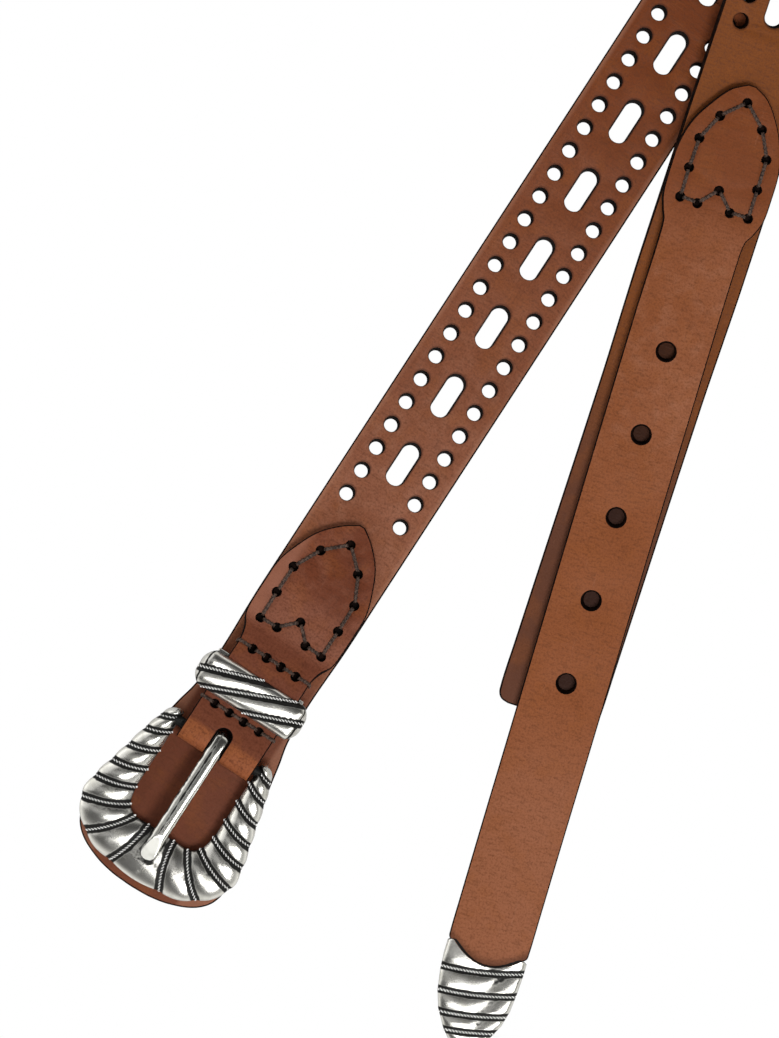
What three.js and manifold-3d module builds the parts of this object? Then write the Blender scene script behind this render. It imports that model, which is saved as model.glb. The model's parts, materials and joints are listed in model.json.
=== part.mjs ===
// A perforated leather belt with a cast western buckle set, lying unfastened.
// Millimetres, +Z up. The buckle's strap runs along +Y and the first slot is at x = y = 0 until the
// last lines centre the belt. Past both flat legs the strap rolls onto its edge and makes one plain
// round turn, so the billet's leg comes back beside the buckle's leg.
import * as THREE from 'three';
import { mergeVertices } from 'three/addons/utils/BufferGeometryUtils.js';
import Module from 'manifold-3d';

const wasm = await Module();
wasm.setup();

const DEGREE = Math.PI / 180;
const GAP = 0.3;
const WELD_DISTANCE = 1e-4;
// Cutting shapes run this far past the metal that they cut.
const OVERSHOOT = 2;
const CORNER_STEPS = 4;
const HOLE_SIDES = 8;

// Main strap: 1 1/4 in wide, with a slot for every third pair of round holes.
const STRAP_THICKNESS = 3;
const STRAP_HALF_WIDTH = 15.9;
const TAIL_HALF_WIDTH = 15.4;
const PAIR_PITCH = 8;
const PAIRS_PER_SLOT = 3;
const FIRST_PAIR = -2;
const LAST_PAIR = 70;
const PAIR_OFFSET = 9.35;
const PAIR_RADIUS = 2.45;
const SLOT_HALF_WIDTH = 3.1;
// Every pair is cut through on the flat legs that show. On the hidden turn one pair in three is.
const LAST_VISIBLE_PAIR = 20;
const FIRST_PAIR_BACK = 68;
const LAST_SLOT_ON_BILLET_LEG = 157.64;
const TONGUE_END_Y = -146.5;

// The two flat legs lie at an angle, and their centre lines would meet at MEETING_Y.
const LEG_ANGLE = 14.965 * DEGREE;
const MEETING_Y = 242.7;
const LEGS_STOP_BEFORE = 67.5;
const BILLET_ZERO_TO_MEETING = 229.7;
const TAIL_END = -61.3;
const EASE_RADIUS = 150;
const NECK_RADIUS = 60;
const TURN_RADIUS_SEARCH = { low: 20, high: 90, halvings: 50 };

// Small straps: the chape that holds the buckle, and the billet that its prong goes through.
const SMALL_THICKNESS = 2.2;
const CHAPE_CENTRE_X = -0.1;
const CHAPE_NECK_HALF_WIDTH = 12.4;
const BILLET_TURN = 1.305 * DEGREE;
const BILLET_SHIFT = -1.35;
const BILLET_HOLE_PITCH = 25.4;
const BILLET_HOLE_RADIUS = 3.15;
const BILLET_HOLE_LINE = 0.2;
const BILLET_HOLE_SIDES = 12;

// Buckle.
const BUCKLE_X = -0.6;
const BAR_Y = -98.5;
const BAR_Z = 7.4;
const BAR_RADIUS = 1.6;
const BAR_CLEARANCE = 0.3;
const BAR_SIDES = 10;
const BAR_INTO_ARMS = 1.5;
const PRONG_WIDTH = 4.8;
const PRONG_RING_RADIUS = 3.3;
const PRONG_SLOT_HALF_WIDTH = 2.8;

const LEATHER = { color: 0x73422a, roughness: 0.62, metalness: 0 };
const CHAPE_LEATHER = { color: 0x7d4c36, roughness: 0.6, metalness: 0 };
const BILLET_LEATHER = { color: 0x8c563a, roughness: 0.6, metalness: 0 };
const SILVER = { color: 0xb9b6ae, roughness: 0.3, metalness: 1 };

function smooth(value, start, end) {
  const t = THREE.MathUtils.clamp((value - start) / (end - start), 0, 1);
  return t * t * (3 - 2 * t);
}

function interpolate(table, key, field, at) {
  if (at <= table[0][key]) return table[0][field];
  for (let i = 1; i < table.length; i += 1) {
    const [a, b] = [table[i - 1], table[i]];
    if (at <= b[key]) return a[field] + ((b[field] - a[field]) * (at - a[key])) / (b[key] - a[key]);
  }
  return table[table.length - 1][field];
}

// The strap's route seen from above. It leans outward through an easy arc and a neck arc on each
// side, and the round turn between them has the radius that gives the strap its whole length.
const SLOT_COUNT = Math.floor(LAST_PAIR / PAIRS_PER_SLOT) + 1;
const LAST_SLOT = PAIR_PITCH * PAIRS_PER_SLOT * (SLOT_COUNT - 1);
const HALF_ANGLE = LEG_ANGLE / 2;
const BUCKLE_LEG_LENGTH = MEETING_Y - LEGS_STOP_BEFORE - TONGUE_END_Y;
const BILLET_LEG_START = BILLET_ZERO_TO_MEETING - LEGS_STOP_BEFORE;
const TURN_LENGTH = LAST_SLOT - (MEETING_Y - LEGS_STOP_BEFORE) - (BILLET_LEG_START - LAST_SLOT_ON_BILLET_LEG);

function neckLean(radius) {
  const reach = LEGS_STOP_BEFORE * Math.sin(HALF_ANGLE) + NECK_RADIUS * Math.cos(HALF_ANGLE);
  return Math.acos(reach / (radius + NECK_RADIUS));
}

function turnLength(radius) {
  const lean = neckLean(radius);
  const side = EASE_RADIUS * LEG_ANGLE + NECK_RADIUS * (lean - HALF_ANGLE) + radius * (Math.PI / 2 + lean);
  return 2 * side;
}

function roundTurnRadius() {
  let { low, high } = TURN_RADIUS_SEARCH;
  for (let i = 0; i < TURN_RADIUS_SEARCH.halvings; i += 1) {
    const middle = (low + high) / 2;
    if (turnLength(middle) < TURN_LENGTH) low = middle;
    else high = middle;
  }
  return (low + high) / 2;
}

function makeRoute() {
  const radius = roundTurnRadius();
  const lean = neckLean(radius);
  const outward = [
    { length: EASE_RADIUS * LEG_ANGLE, bend: 1 / EASE_RADIUS },
    { length: NECK_RADIUS * (lean - HALF_ANGLE), bend: 1 / NECK_RADIUS },
  ];
  const parts = [
    { length: BUCKLE_LEG_LENGTH, bend: 0 },
    ...outward,
    { length: radius * (Math.PI + 2 * lean), bend: -1 / radius },
    ...outward.slice().reverse(),
    { length: BILLET_LEG_START - TAIL_END, bend: 0 },
  ];
  let state = { start: 0, x: 0, y: TONGUE_END_Y, heading: Math.PI / 2 };
  return parts.map((part) => {
    const piece = { ...state, ...part };
    const end = along(piece, part.length);
    state = { start: piece.start + part.length, ...end };
    return piece;
  });
}

function along(piece, distance) {
  const heading = piece.heading + piece.bend * distance;
  if (piece.bend === 0) {
    return {
      x: piece.x + distance * Math.cos(heading),
      y: piece.y + distance * Math.sin(heading),
      heading,
    };
  }
  return {
    x: piece.x + (Math.sin(heading) - Math.sin(piece.heading)) / piece.bend,
    y: piece.y - (Math.cos(heading) - Math.cos(piece.heading)) / piece.bend,
    heading,
  };
}

const ROUTE = makeRoute();
const TURN_START = BUCKLE_LEG_LENGTH;
const TURN_END = TURN_START + TURN_LENGTH;
const STRAP_LENGTH = TURN_END + BILLET_LEG_START - TAIL_END;

// How far the strap is rolled onto its outer edge, in degrees. The billet's leg lies partly over the
// buckle's leg and so starts to roll first.
const BILLET_LEG_ROLL = [
  { at: 60, roll: 0 },
  { at: 110, roll: 6.4 },
  { at: BILLET_LEG_START, roll: 12 },
];

// Distances past the end of each flat leg, between which it finishes rolling.
const BUCKLE_LEG_ROLLS = { from: 12, to: 112 };
const BILLET_LEG_ROLLS = { from: 0, to: 66 };

function rollAt(u) {
  if (u < (TURN_START + TURN_END) / 2) {
    return 90 * smooth(u - TURN_START, BUCKLE_LEG_ROLLS.from, BUCKLE_LEG_ROLLS.to) * DEGREE;
  }
  const beyond = TURN_END - u;
  const leaning = interpolate(BILLET_LEG_ROLL, 'at', 'roll', BILLET_LEG_START + beyond);
  const rolled = smooth(beyond, BILLET_LEG_ROLLS.from, BILLET_LEG_ROLLS.to);
  return THREE.MathUtils.lerp(leaning, 90, rolled) * DEGREE;
}

// A point of the strap: u along it from the tongue's end, v to the left of travel, and w up through
// the leather from its middle. The outer edge keeps to the ground while the inner edge rolls up.
function onStrap(u, v, w) {
  const piece = ROUTE.findLast((part) => u >= part.start) ?? ROUTE[0];
  const { x, y, heading } = along(piece, u - piece.start);
  const roll = rollAt(u);
  const left = new THREE.Vector3(-Math.sin(heading), Math.cos(heading), 0);
  const up = new THREE.Vector3(0, 0, 1);
  const across = left.clone().multiplyScalar(Math.cos(roll)).addScaledVector(up, -Math.sin(roll));
  const through = up.clone().multiplyScalar(Math.cos(roll)).addScaledVector(left, Math.sin(roll));
  const height = STRAP_HALF_WIDTH * Math.sin(roll) + (STRAP_THICKNESS / 2) * Math.cos(roll);
  return new THREE.Vector3(x, y, height).addScaledVector(across, v).addScaledVector(through, w);
}

// A point in the billet's own plan: along it from its middle hole, and across it to the right.
function billetToStrap(ahead, across) {
  const shifted = across - BILLET_SHIFT;
  const u = ahead * Math.cos(BILLET_TURN) + shifted * Math.sin(BILLET_TURN);
  const v = shifted * Math.cos(BILLET_TURN) - ahead * Math.sin(BILLET_TURN);
  return { u: STRAP_LENGTH + TAIL_END - u, v };
}

// One cell of a sheet between two rows, as outlines with the leather on their left.
const SLOT_ARC_STEPS = 4;

function slotEnd(u, slotAt, radius, forward) {
  return Array.from({ length: SLOT_ARC_STEPS - 1 }, (_, i) => {
    const angle = (90 - (180 * (i + 1)) / SLOT_ARC_STEPS) * DEGREE * forward;
    return new THREE.Vector2(u + forward * radius * Math.cos(angle), slotAt + radius * Math.sin(angle));
  });
}

function cellOutlines(a, b, slotAt) {
  const corner = (row, v) => new THREE.Vector2(row.u, v);
  const outer = [corner(a, a.right), corner(b, b.right), corner(b, b.left), corner(a, a.left)];
  if (!a.slot && !b.slot) return [outer];
  if (a.slot && b.slot) {
    return [
      [outer[0], outer[1], corner(b, slotAt - b.slot), corner(a, slotAt - a.slot)],
      [corner(a, slotAt + a.slot), corner(b, slotAt + b.slot), outer[2], outer[3]],
    ];
  }
  if (a.slot) {
    const arc = slotEnd(a.u, slotAt, a.slot, 1);
    return [[...outer, corner(a, slotAt + a.slot), ...arc, corner(a, slotAt - a.slot)]];
  }
  const arc = slotEnd(b.u, slotAt, b.slot, -1);
  const [first, second, third, fourth] = outer;
  return [[first, second, corner(b, slotAt - b.slot), ...arc, corner(b, slotAt + b.slot), third, fourth]];
}

function holeRing({ u, v, radius, sides = HOLE_SIDES }) {
  return Array.from({ length: sides }, (_, i) => {
    const angle = ((i + 0.5) * -2 * Math.PI) / sides;
    return new THREE.Vector2(u + radius * Math.cos(angle), v + radius * Math.sin(angle));
  });
}

// A sheet of leather. Rows cross it one after the other, holes are cut in the cells between them,
// and place(u, v, w) bends the flat sheet into its shape.
function leatherSheet({ rows, holes = [], thickness, place, slotAt = 0 }) {
  const positions = [];
  const half = thickness / 2;
  const put = (point, side) => positions.push(...place(point.x, point.y, side * half).toArray());
  const wall = (a, b) => {
    [[a, -1], [b, -1], [b, 1], [a, -1], [b, 1], [a, 1]].forEach(([point, side]) => put(point, side));
  };
  const isSeam = (a, b) => a.x === b.x && a.x !== rows[0].u && a.x !== rows[rows.length - 1].u;
  for (let i = 1; i < rows.length; i += 1) {
    const [a, b] = [rows[i - 1], rows[i]];
    cellOutlines(a, b, slotAt).forEach((outline, strip, strips) => {
      const mine = holes.filter(({ u, v }) => u > a.u && u < b.u
        && (strips.length === 1 || (v > slotAt) === (strip === 1)));
      const rings = mine.map(holeRing);
      const points = outline.concat(...rings);
      THREE.ShapeUtils.triangulateShape(outline.slice(), rings.map((ring) => ring.slice()))
        .forEach((face) => {
          const [p, q, r] = face.map((index) => points[index]);
          const turn = (q.x - p.x) * (r.y - p.y) - (q.y - p.y) * (r.x - p.x);
          const [second, third] = turn > 0 ? [q, r] : [r, q];
          [p, second, third].forEach((point) => put(point, 1));
          [p, third, second].forEach((point) => put(point, -1));
        });
      outline.forEach((point, index) => {
        const next = outline[(index + 1) % outline.length];
        if (!isSeam(point, next)) wall(point, next);
      });
      rings.forEach((ring) => ring.forEach((point, index) => wall(point, ring[(index + 1) % ring.length])));
    });
  }
  const geometry = new THREE.BufferGeometry();
  geometry.setAttribute('position', new THREE.Float32BufferAttribute(positions, 3));
  return geometry;
}

// Main strap.
const TONGUE = [
  { y: -146.5, half: 7 },
  { y: -145.2, half: 13 },
  { y: -142.2, half: 19.6 },
  { y: -138, half: 23.4 },
  { y: -132, half: 24.5 },
  { y: -121, half: 23.3 },
  { y: -112, half: 21.5 },
  { y: -101, half: 19 },
  { y: -94, half: 17.7 },
  { y: -87, half: 16.2 },
  { y: -75, half: 15.4 },
  { y: -55, half: STRAP_HALF_WIDTH },
];
// Distances from the tail's end, with the rounded corners.
const TAIL = [
  { fromEnd: 121, half: 15.7 },
  { fromEnd: 100, half: TAIL_HALF_WIDTH },
  { fromEnd: 3, half: TAIL_HALF_WIDTH },
  { fromEnd: 0.9, half: TAIL_HALF_WIDTH - 0.9 },
  { fromEnd: 0, half: TAIL_HALF_WIDTH - 3 },
];
const ROLLED_TAIL_ROWS = 7;

function strapRows() {
  const rows = TONGUE.map(({ y, half }) => ({ u: y - TONGUE_END_Y, half }));
  for (let pair = FIRST_PAIR; pair <= LAST_PAIR + 1; pair += 1) {
    const betweenSlotEnds = ((pair % PAIRS_PER_SLOT) + PAIRS_PER_SLOT) % PAIRS_PER_SLOT <= 1;
    const inRow = pair >= 0 && pair <= LAST_SLOT / PAIR_PITCH + 1;
    const slot = betweenSlotEnds && inRow ? SLOT_HALF_WIDTH : 0;
    rows.push({ u: (pair - 0.5) * PAIR_PITCH - TONGUE_END_Y, half: STRAP_HALF_WIDTH, slot });
  }
  const lastPitch = rows[rows.length - 1].u;
  const flatTail = STRAP_LENGTH - TAIL[0].fromEnd;
  for (let i = 1; i < ROLLED_TAIL_ROWS; i += 1) {
    const share = i / ROLLED_TAIL_ROWS;
    const half = THREE.MathUtils.lerp(STRAP_HALF_WIDTH, TAIL[0].half, share);
    rows.push({ u: THREE.MathUtils.lerp(lastPitch, flatTail, share), half });
  }
  TAIL.forEach(({ fromEnd, half }) => rows.push({ u: STRAP_LENGTH - fromEnd, half }));
  return rows.map(({ u, half, slot = 0 }) => ({ u, left: half, right: -half, slot }));
}

function strapHoles() {
  const holes = [];
  for (let pair = FIRST_PAIR; pair <= LAST_PAIR; pair += 1) {
    const shows = pair <= LAST_VISIBLE_PAIR || pair >= FIRST_PAIR_BACK;
    if (shows || pair % PAIRS_PER_SLOT === 0) {
      const u = pair * PAIR_PITCH - TONGUE_END_Y;
      [-1, 1].forEach((side) => holes.push({ u, v: side * PAIR_OFFSET, radius: PAIR_RADIUS }));
    }
  }
  return holes;
}

function mainStrap() {
  return leatherSheet({
    rows: strapRows(), holes: strapHoles(), thickness: STRAP_THICKNESS, place: onStrap,
  });
}

// Chape: the height of the leather's middle along its way from the spade's point, over the bar and
// back under itself. The lower layer steps over the keeper's back plate.
const ON_STRAP_Z = STRAP_THICKNESS + GAP + SMALL_THICKNESS / 2;
const FOLD_RADIUS = BAR_RADIUS + BAR_CLEARANCE + SMALL_THICKNESS / 2;
const FOLD_STEPS = 8;
const CHAPE_TOP = [
  { y: -22, z: ON_STRAP_Z, half: 1.2, slot: 0 },
  { y: -25, z: ON_STRAP_Z, half: 5.4, slot: 0 },
  { y: -30, z: ON_STRAP_Z, half: 10, slot: 0 },
  { y: -36, z: ON_STRAP_Z, half: 13, slot: 0 },
  { y: -43, z: ON_STRAP_Z, half: 15.3, slot: 0 },
  { y: -50, z: ON_STRAP_Z, half: 15.4, slot: 0 },
  { y: -61, z: ON_STRAP_Z, half: 15.4, slot: 0 },
  { y: -63.5, z: ON_STRAP_Z + 0.5, half: 14.6, slot: 0 },
  { y: -65.5, z: ON_STRAP_Z + 1.3, half: 13, slot: 0 },
  { y: -68, z: ON_STRAP_Z + 2.4, half: 12.3, slot: 0 },
  { y: -70.5, z: ON_STRAP_Z + 3.3, half: 12.3, slot: 0 },
  { y: -73, z: ON_STRAP_Z + 3.7, half: 12.3, slot: 0 },
  { y: -88, z: ON_STRAP_Z + 3.7, half: CHAPE_NECK_HALF_WIDTH, slot: 0 },
  { y: -95.1, z: BAR_Z + FOLD_RADIUS - 0.5, half: CHAPE_NECK_HALF_WIDTH, slot: PRONG_SLOT_HALF_WIDTH },
];
const CHAPE_RETURN = [
  { y: -96.2, z: ON_STRAP_Z, half: CHAPE_NECK_HALF_WIDTH, slot: PRONG_SLOT_HALF_WIDTH },
  { y: -89.8, z: ON_STRAP_Z, half: CHAPE_NECK_HALF_WIDTH, slot: 0 },
  { y: -87.8, z: ON_STRAP_Z + 1.2, half: CHAPE_NECK_HALF_WIDTH, slot: 0 },
  { y: -73.6, z: ON_STRAP_Z + 1.2, half: 12.3, slot: 0 },
  { y: -72.2, z: ON_STRAP_Z, half: 12.3, slot: 0 },
  { y: -70, z: ON_STRAP_Z, half: 12.3, slot: 0 },
];

function chapeStations() {
  const fold = Array.from({ length: FOLD_STEPS + 1 }, (_, i) => {
    const angle = (90 + (180 * i) / FOLD_STEPS) * DEGREE;
    return {
      y: BAR_Y + FOLD_RADIUS * Math.cos(angle),
      z: BAR_Z + FOLD_RADIUS * Math.sin(angle),
      half: CHAPE_NECK_HALF_WIDTH,
      slot: PRONG_SLOT_HALF_WIDTH,
    };
  });
  const stations = [...CHAPE_TOP, ...fold, ...CHAPE_RETURN];
  let u = 0;
  return stations.map((station, i) => {
    if (i > 0) u += Math.hypot(station.y - stations[i - 1].y, station.z - stations[i - 1].z);
    const before = stations[Math.max(i - 1, 0)];
    const after = stations[Math.min(i + 1, stations.length - 1)];
    const slope = new THREE.Vector2(after.y - before.y, after.z - before.z).normalize();
    return { ...station, u, normal: new THREE.Vector2(slope.y, -slope.x) };
  });
}

function chape() {
  const stations = chapeStations();
  const place = (u, v, w) => {
    const next = Math.max(1, stations.findIndex((station) => station.u >= u));
    const [a, b] = [stations[next - 1], stations[next]];
    const share = (u - a.u) / (b.u - a.u);
    const normal = a.normal.clone().lerp(b.normal, share).normalize();
    const y = THREE.MathUtils.lerp(a.y, b.y, share) + normal.x * w;
    return new THREE.Vector3(CHAPE_CENTRE_X + v, y, THREE.MathUtils.lerp(a.z, b.z, share) + normal.y * w);
  };
  const rows = stations.map(({ u, half, slot }) => ({ u, left: half, right: -half, slot }));
  return leatherSheet({ rows, thickness: SMALL_THICKNESS, place, slotAt: BUCKLE_X - CHAPE_CENTRE_X });
}

// Billet strap: its two edges beside the line through its holes, from the spade's point down.
const BILLET = [
  { s: 132, left: -0.3, right: 2.7 },
  { s: 129.3, left: -4.8, right: 7.2 },
  { s: 123, left: -9.7, right: 11.9 },
  { s: 117, left: -13, right: 14.7 },
  { s: 110, left: -14.7, right: 16.5 },
  { s: 102, left: -14.7, right: 16.5 },
  { s: 94, left: -14.5, right: 16.2 },
  { s: 90.5, left: -13.3, right: 14.6 },
  { s: 87.5, left: -12, right: 12.9 },
  { s: 80, left: -11.9, right: 12.6 },
  { s: 70, left: -12, right: 12.6 },
  { s: 60, left: -12, right: 12.6 },
  { s: 38, left: -12, right: 12.6 },
  { s: 12.7, left: -12, right: 12.5 },
  { s: -12.7, left: -12, right: 12.5 },
  { s: -38, left: -11.9, right: 12.5 },
  { s: -61, left: -11.8, right: 12.6 },
  { s: -68, left: -11.8, right: 12.6 },
  { s: -76, left: -11.8, right: 12.6 },
  { s: -84, left: -11.8, right: 12.6 },
  { s: -92, left: -11.7, right: 12.7 },
  { s: -100, left: -11.7, right: 12.7 },
  { s: -131.5, left: -11.4, right: 12.8 },
  { s: -132.2, left: -9.6, right: 11 },
  { s: -144, left: -8.4, right: 9.8 },
  { s: -152, left: -6.2, right: 7.6 },
];
// Past the end of the tail the free end sags until its metal tip rests on the ground.
const SAG_START = -63;
const SAG_END = -100;
const TIP_THICKNESS = 4.4;
const BILLET_ABOVE = STRAP_THICKNESS / 2 + GAP + SMALL_THICKNESS / 2;
const BILLET_SAG = BILLET_ABOVE + STRAP_THICKNESS / 2 - TIP_THICKNESS / 2;

function onBillet(minusS, t, w) {
  const { u, v } = billetToStrap(-minusS, t);
  return onStrap(u, v, BILLET_ABOVE - BILLET_SAG * smooth(minusS, -SAG_START, -SAG_END) + w);
}

function billetStrap() {
  const rows = BILLET.map(({ s, left, right }) => ({ u: -s, right: left, left: right, slot: 0 }));
  const [v, radius, sides] = [BILLET_HOLE_LINE, BILLET_HOLE_RADIUS, BILLET_HOLE_SIDES];
  const holes = [-2, -1, 0, 1, 2].map((step) => ({ u: step * BILLET_HOLE_PITCH, v, radius, sides }));
  return leatherSheet({ rows, holes, thickness: SMALL_THICKNESS, place: onBillet });
}

// Joining and cutting of the metal pieces.
function toSolid(geometry) {
  const bare = geometry.clone();
  bare.deleteAttribute('normal');
  bare.deleteAttribute('uv');
  const merged = mergeVertices(bare, WELD_DISTANCE);
  return new wasm.Manifold(new wasm.Mesh({
    numProp: 3,
    vertProperties: merged.attributes.position.array,
    triVerts: merged.index.array,
  }));
}

function toGeometry(solid) {
  const { vertProperties, triVerts } = solid.getMesh();
  const geometry = new THREE.BufferGeometry();
  geometry.setAttribute('position', new THREE.BufferAttribute(vertProperties, 3));
  geometry.setIndex(new THREE.BufferAttribute(triVerts, 1));
  return geometry;
}

function extruded(shape, depth, axes, start) {
  const options = { depth, bevelEnabled: false, curveSegments: CORNER_STEPS };
  const geometry = new THREE.ExtrudeGeometry(shape, options);
  const basis = new THREE.Matrix4().makeBasis(...axes.map((axis) => new THREE.Vector3(...axis)));
  return geometry.translate(0, 0, start).applyMatrix4(basis);
}

const UPRIGHT = [[1, 0, 0], [0, 1, 0], [0, 0, 1]];
const SIDEWAYS = [[0, 1, 0], [0, 0, 1], [1, 0, 0]];
const ENDWAYS = [[1, 0, 0], [0, 0, 1], [0, -1, 0]];

function roundedBox(left, right, low, high, radius) {
  const shape = new THREE.Shape();
  shape.moveTo(left + radius, low);
  shape.lineTo(right - radius, low);
  shape.absarc(right - radius, low + radius, radius, -Math.PI / 2, 0, false);
  shape.lineTo(right, high - radius);
  shape.absarc(right - radius, high - radius, radius, 0, Math.PI / 2, false);
  shape.lineTo(left + radius, high);
  shape.absarc(left + radius, high - radius, radius, Math.PI / 2, Math.PI, false);
  shape.lineTo(left, low + radius);
  shape.absarc(left + radius, low + radius, radius, Math.PI, Math.PI * 1.5, false);
  return shape;
}

// A raised rope line: a bar with six sides between two points of a top face.
const ROPE_RADIUS = 0.75;
const ROPE_SUNK = 0.15;
const ROPE_SIDES = 6;

function ropeBar(from, to, z) {
  const run = new THREE.Vector2(to.x - from.x, to.y - from.y);
  const bar = new THREE.CylinderGeometry(ROPE_RADIUS, ROPE_RADIUS, run.length(), ROPE_SIDES);
  bar.rotateZ(Math.atan2(run.y, run.x) - Math.PI / 2);
  bar.translate((from.x + to.x) / 2, (from.y + to.y) / 2, z - ROPE_SUNK);
  return toSolid(bar);
}

// Keeper: a ring round the chape with a thin back plate that shows past its front band.
const KEEPER = { left: -18.3, right: 16, back: -86.7, front: -76.3, bottom: 3.3, top: 11.6 };
const KEEPER_WALL = { sides: 2.2, roof: 2 };
const KEEPER_CORNERS = { section: 3, inside: 0.8, ends: 4, plate: 1 };
const KEEPER_PLATE = { thickness: 0.9, front: -74.2, back: -86.2, left: -15.8, right: 13.6 };
const KEEPER_ROPES = [
  { from: { x: -18, y: -82.3 }, to: { x: 0, y: -75.9 } },
  { from: { x: -17, y: -86.8 }, to: { x: 13.5, y: -75.8 } },
  { from: { x: -1.5, y: -87.3 }, to: { x: 17, y: -80.2 } },
];

function keeper() {
  const { left, right, back, front, bottom, top } = KEEPER;
  const floor = bottom + KEEPER_PLATE.thickness;
  const roof = top - KEEPER_WALL.roof;
  const section = roundedBox(left, right, bottom, top, KEEPER_CORNERS.section);
  const [insideLeft, insideRight] = [left + KEEPER_WALL.sides, right - KEEPER_WALL.sides];
  section.holes.push(roundedBox(insideLeft, insideRight, floor, roof, KEEPER_CORNERS.inside));
  const ring = toSolid(extruded(section, front - back, ENDWAYS, -front));
  const seenFromAbove = roundedBox(left, right, back, front, KEEPER_CORNERS.ends);
  const ends = toSolid(extruded(seenFromAbove, top + OVERSHOOT, UPRIGHT, 0));
  const plate = roundedBox(
    KEEPER_PLATE.left, KEEPER_PLATE.right, KEEPER_PLATE.back, KEEPER_PLATE.front, KEEPER_CORNERS.plate,
  );
  const backPlate = toSolid(extruded(plate, KEEPER_PLATE.thickness, UPRIGHT, bottom));
  const ropes = KEEPER_ROPES.map(({ from, to }) => ropeBar(from, to, top));
  const band = ropes.reduce((solid, rope) => solid.add(rope), ring).intersect(ends);
  return toGeometry(band.add(backPlate));
}

// Tip cap: a cast sheath on the billet's end, drawn in the billet's own plan.
const TIP_OUTLINE = [
  { s: -137, left: -11.4, right: 13 },
  { s: -142, left: -11, right: 12.8 },
  { s: -148, left: -10, right: 12.3 },
  { s: -153, left: -8.3, right: 11 },
  { s: -158, left: -5.3, right: 8.4 },
  { s: -161.5, left: -2.4, right: 5.4 },
];
const TIP_POINT = { s: -164.2, t: 1.4 };
const TIP_MOUTH = { left: { s: -132.3, t: -11.3 }, low: { s: -141, t: 0.8 }, right: { s: -132.9, t: 12.9 } };
const TIP_POCKET = [
  { s: -130, left: -9.9, right: 11.3 },
  { s: -132.6, left: -9.9, right: 11.3 },
  { s: -144.2, left: -8.7, right: 10.1 },
  { s: -152.4, left: -6.4, right: 7.8 },
];
const TIP_ROPES = [
  { from: { s: -141.2, t: -12 }, to: { s: -138.1, t: 14 } },
  { from: { s: -147.6, t: -12 }, to: { s: -143.4, t: 14 } },
  { from: { s: -154, t: -10 }, to: { s: -149.4, t: 13 } },
  { from: { s: -159.3, t: -7 }, to: { s: -155, t: 11 } },
];

function tipCap() {
  const shape = new THREE.Shape();
  shape.moveTo(TIP_MOUTH.left.t, TIP_MOUTH.left.s);
  TIP_OUTLINE.forEach(({ s, left }) => shape.lineTo(left, s));
  shape.quadraticCurveTo(TIP_POINT.t, TIP_POINT.s, TIP_OUTLINE.at(-1).right, TIP_OUTLINE.at(-1).s);
  TIP_OUTLINE.slice(0, -1).reverse().forEach(({ s, right }) => shape.lineTo(right, s));
  shape.lineTo(TIP_MOUTH.right.t, TIP_MOUTH.right.s);
  shape.quadraticCurveTo(TIP_MOUTH.low.t, TIP_MOUTH.low.s, TIP_MOUTH.left.t, TIP_MOUTH.left.s);
  const pocket = new THREE.Shape([
    ...TIP_POCKET.map(({ s, left }) => new THREE.Vector2(left, s)),
    ...TIP_POCKET.slice().reverse().map(({ s, right }) => new THREE.Vector2(right, s)),
  ]);
  const body = toSolid(extruded(shape, TIP_THICKNESS, UPRIGHT, 0));
  const pocketHeight = SMALL_THICKNESS + 2 * GAP;
  const hollow = toSolid(extruded(pocket, pocketHeight, UPRIGHT, (TIP_THICKNESS - pocketHeight) / 2));
  const outline = toSolid(extruded(shape, TIP_THICKNESS + OVERSHOOT, UPRIGHT, 0));
  const ropes = TIP_ROPES.map(({ from, to }) => (
    ropeBar({ x: from.t, y: from.s }, { x: to.t, y: to.s }, TIP_THICKNESS)));
  return toGeometry(ropes.reduce((solid, rope) => solid.add(rope), body).intersect(outline).subtract(hollow));
}

// Buckle frame: a cast bow from arm to arm. Each row is a rope line from the window's edge to the
// outer edge, on the right side of the middle. Domed lobes lie between the ropes.
const FRAME_ROPES = [
  { innerX: 13.6, innerY: -97.3, outerX: 19, outerY: -99.8 },
  { innerX: 13.6, innerY: -102.5, outerX: 20.4, outerY: -105.3 },
  { innerX: 13.6, innerY: -109, outerX: 22, outerY: -112 },
  { innerX: 13.6, innerY: -115.6, outerX: 23.6, outerY: -118.4 },
  { innerX: 13.5, innerY: -121.7, outerX: 25.2, outerY: -124.9 },
  { innerX: 12.2, innerY: -126.8, outerX: 25.4, outerY: -132.2 },
  { innerX: 9.2, innerY: -129, outerX: 19, outerY: -140 },
  { innerX: 4.4, innerY: -129, outerX: 8.6, outerY: -143.6 },
];
const FRAME_ARM_TOP = { innerX: 13.6, innerY: -95, outerX: 17.4, outerY: -95.3 };
const FRAME_UNDER = [
  { y: -144.5, z: 3.4 },
  { y: -98.5, z: 5.2 },
];
const ROPE_HEIGHT = 4.5;
const LOBE_HEIGHTS = { groove: 3.7, side: 4.5, top: 4.8 };
const SEAT_HEIGHTS = { groove: 3.7, side: 4.3, top: 4.3 };
// The rows of a lobe: how far each is on the way between two ropes, and how far it bulges outward.
const LOBE_ROWS = [
  { share: 0.16, bulge: 0.15, level: 'groove' },
  { share: 0.32, bulge: 0.55, level: 'side' },
  { share: 0.5, bulge: 0.7, level: 'top' },
  { share: 0.68, bulge: 0.55, level: 'side' },
  { share: 0.84, bulge: 0.15, level: 'groove' },
];
const FRAME_ACROSS = [
  { share: 0, height: 0.5 },
  { share: 0.22, height: 0.92 },
  { share: 0.5, height: 1 },
  { share: 0.78, height: 0.92 },
  { share: 1, height: 0.5 },
];

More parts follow.
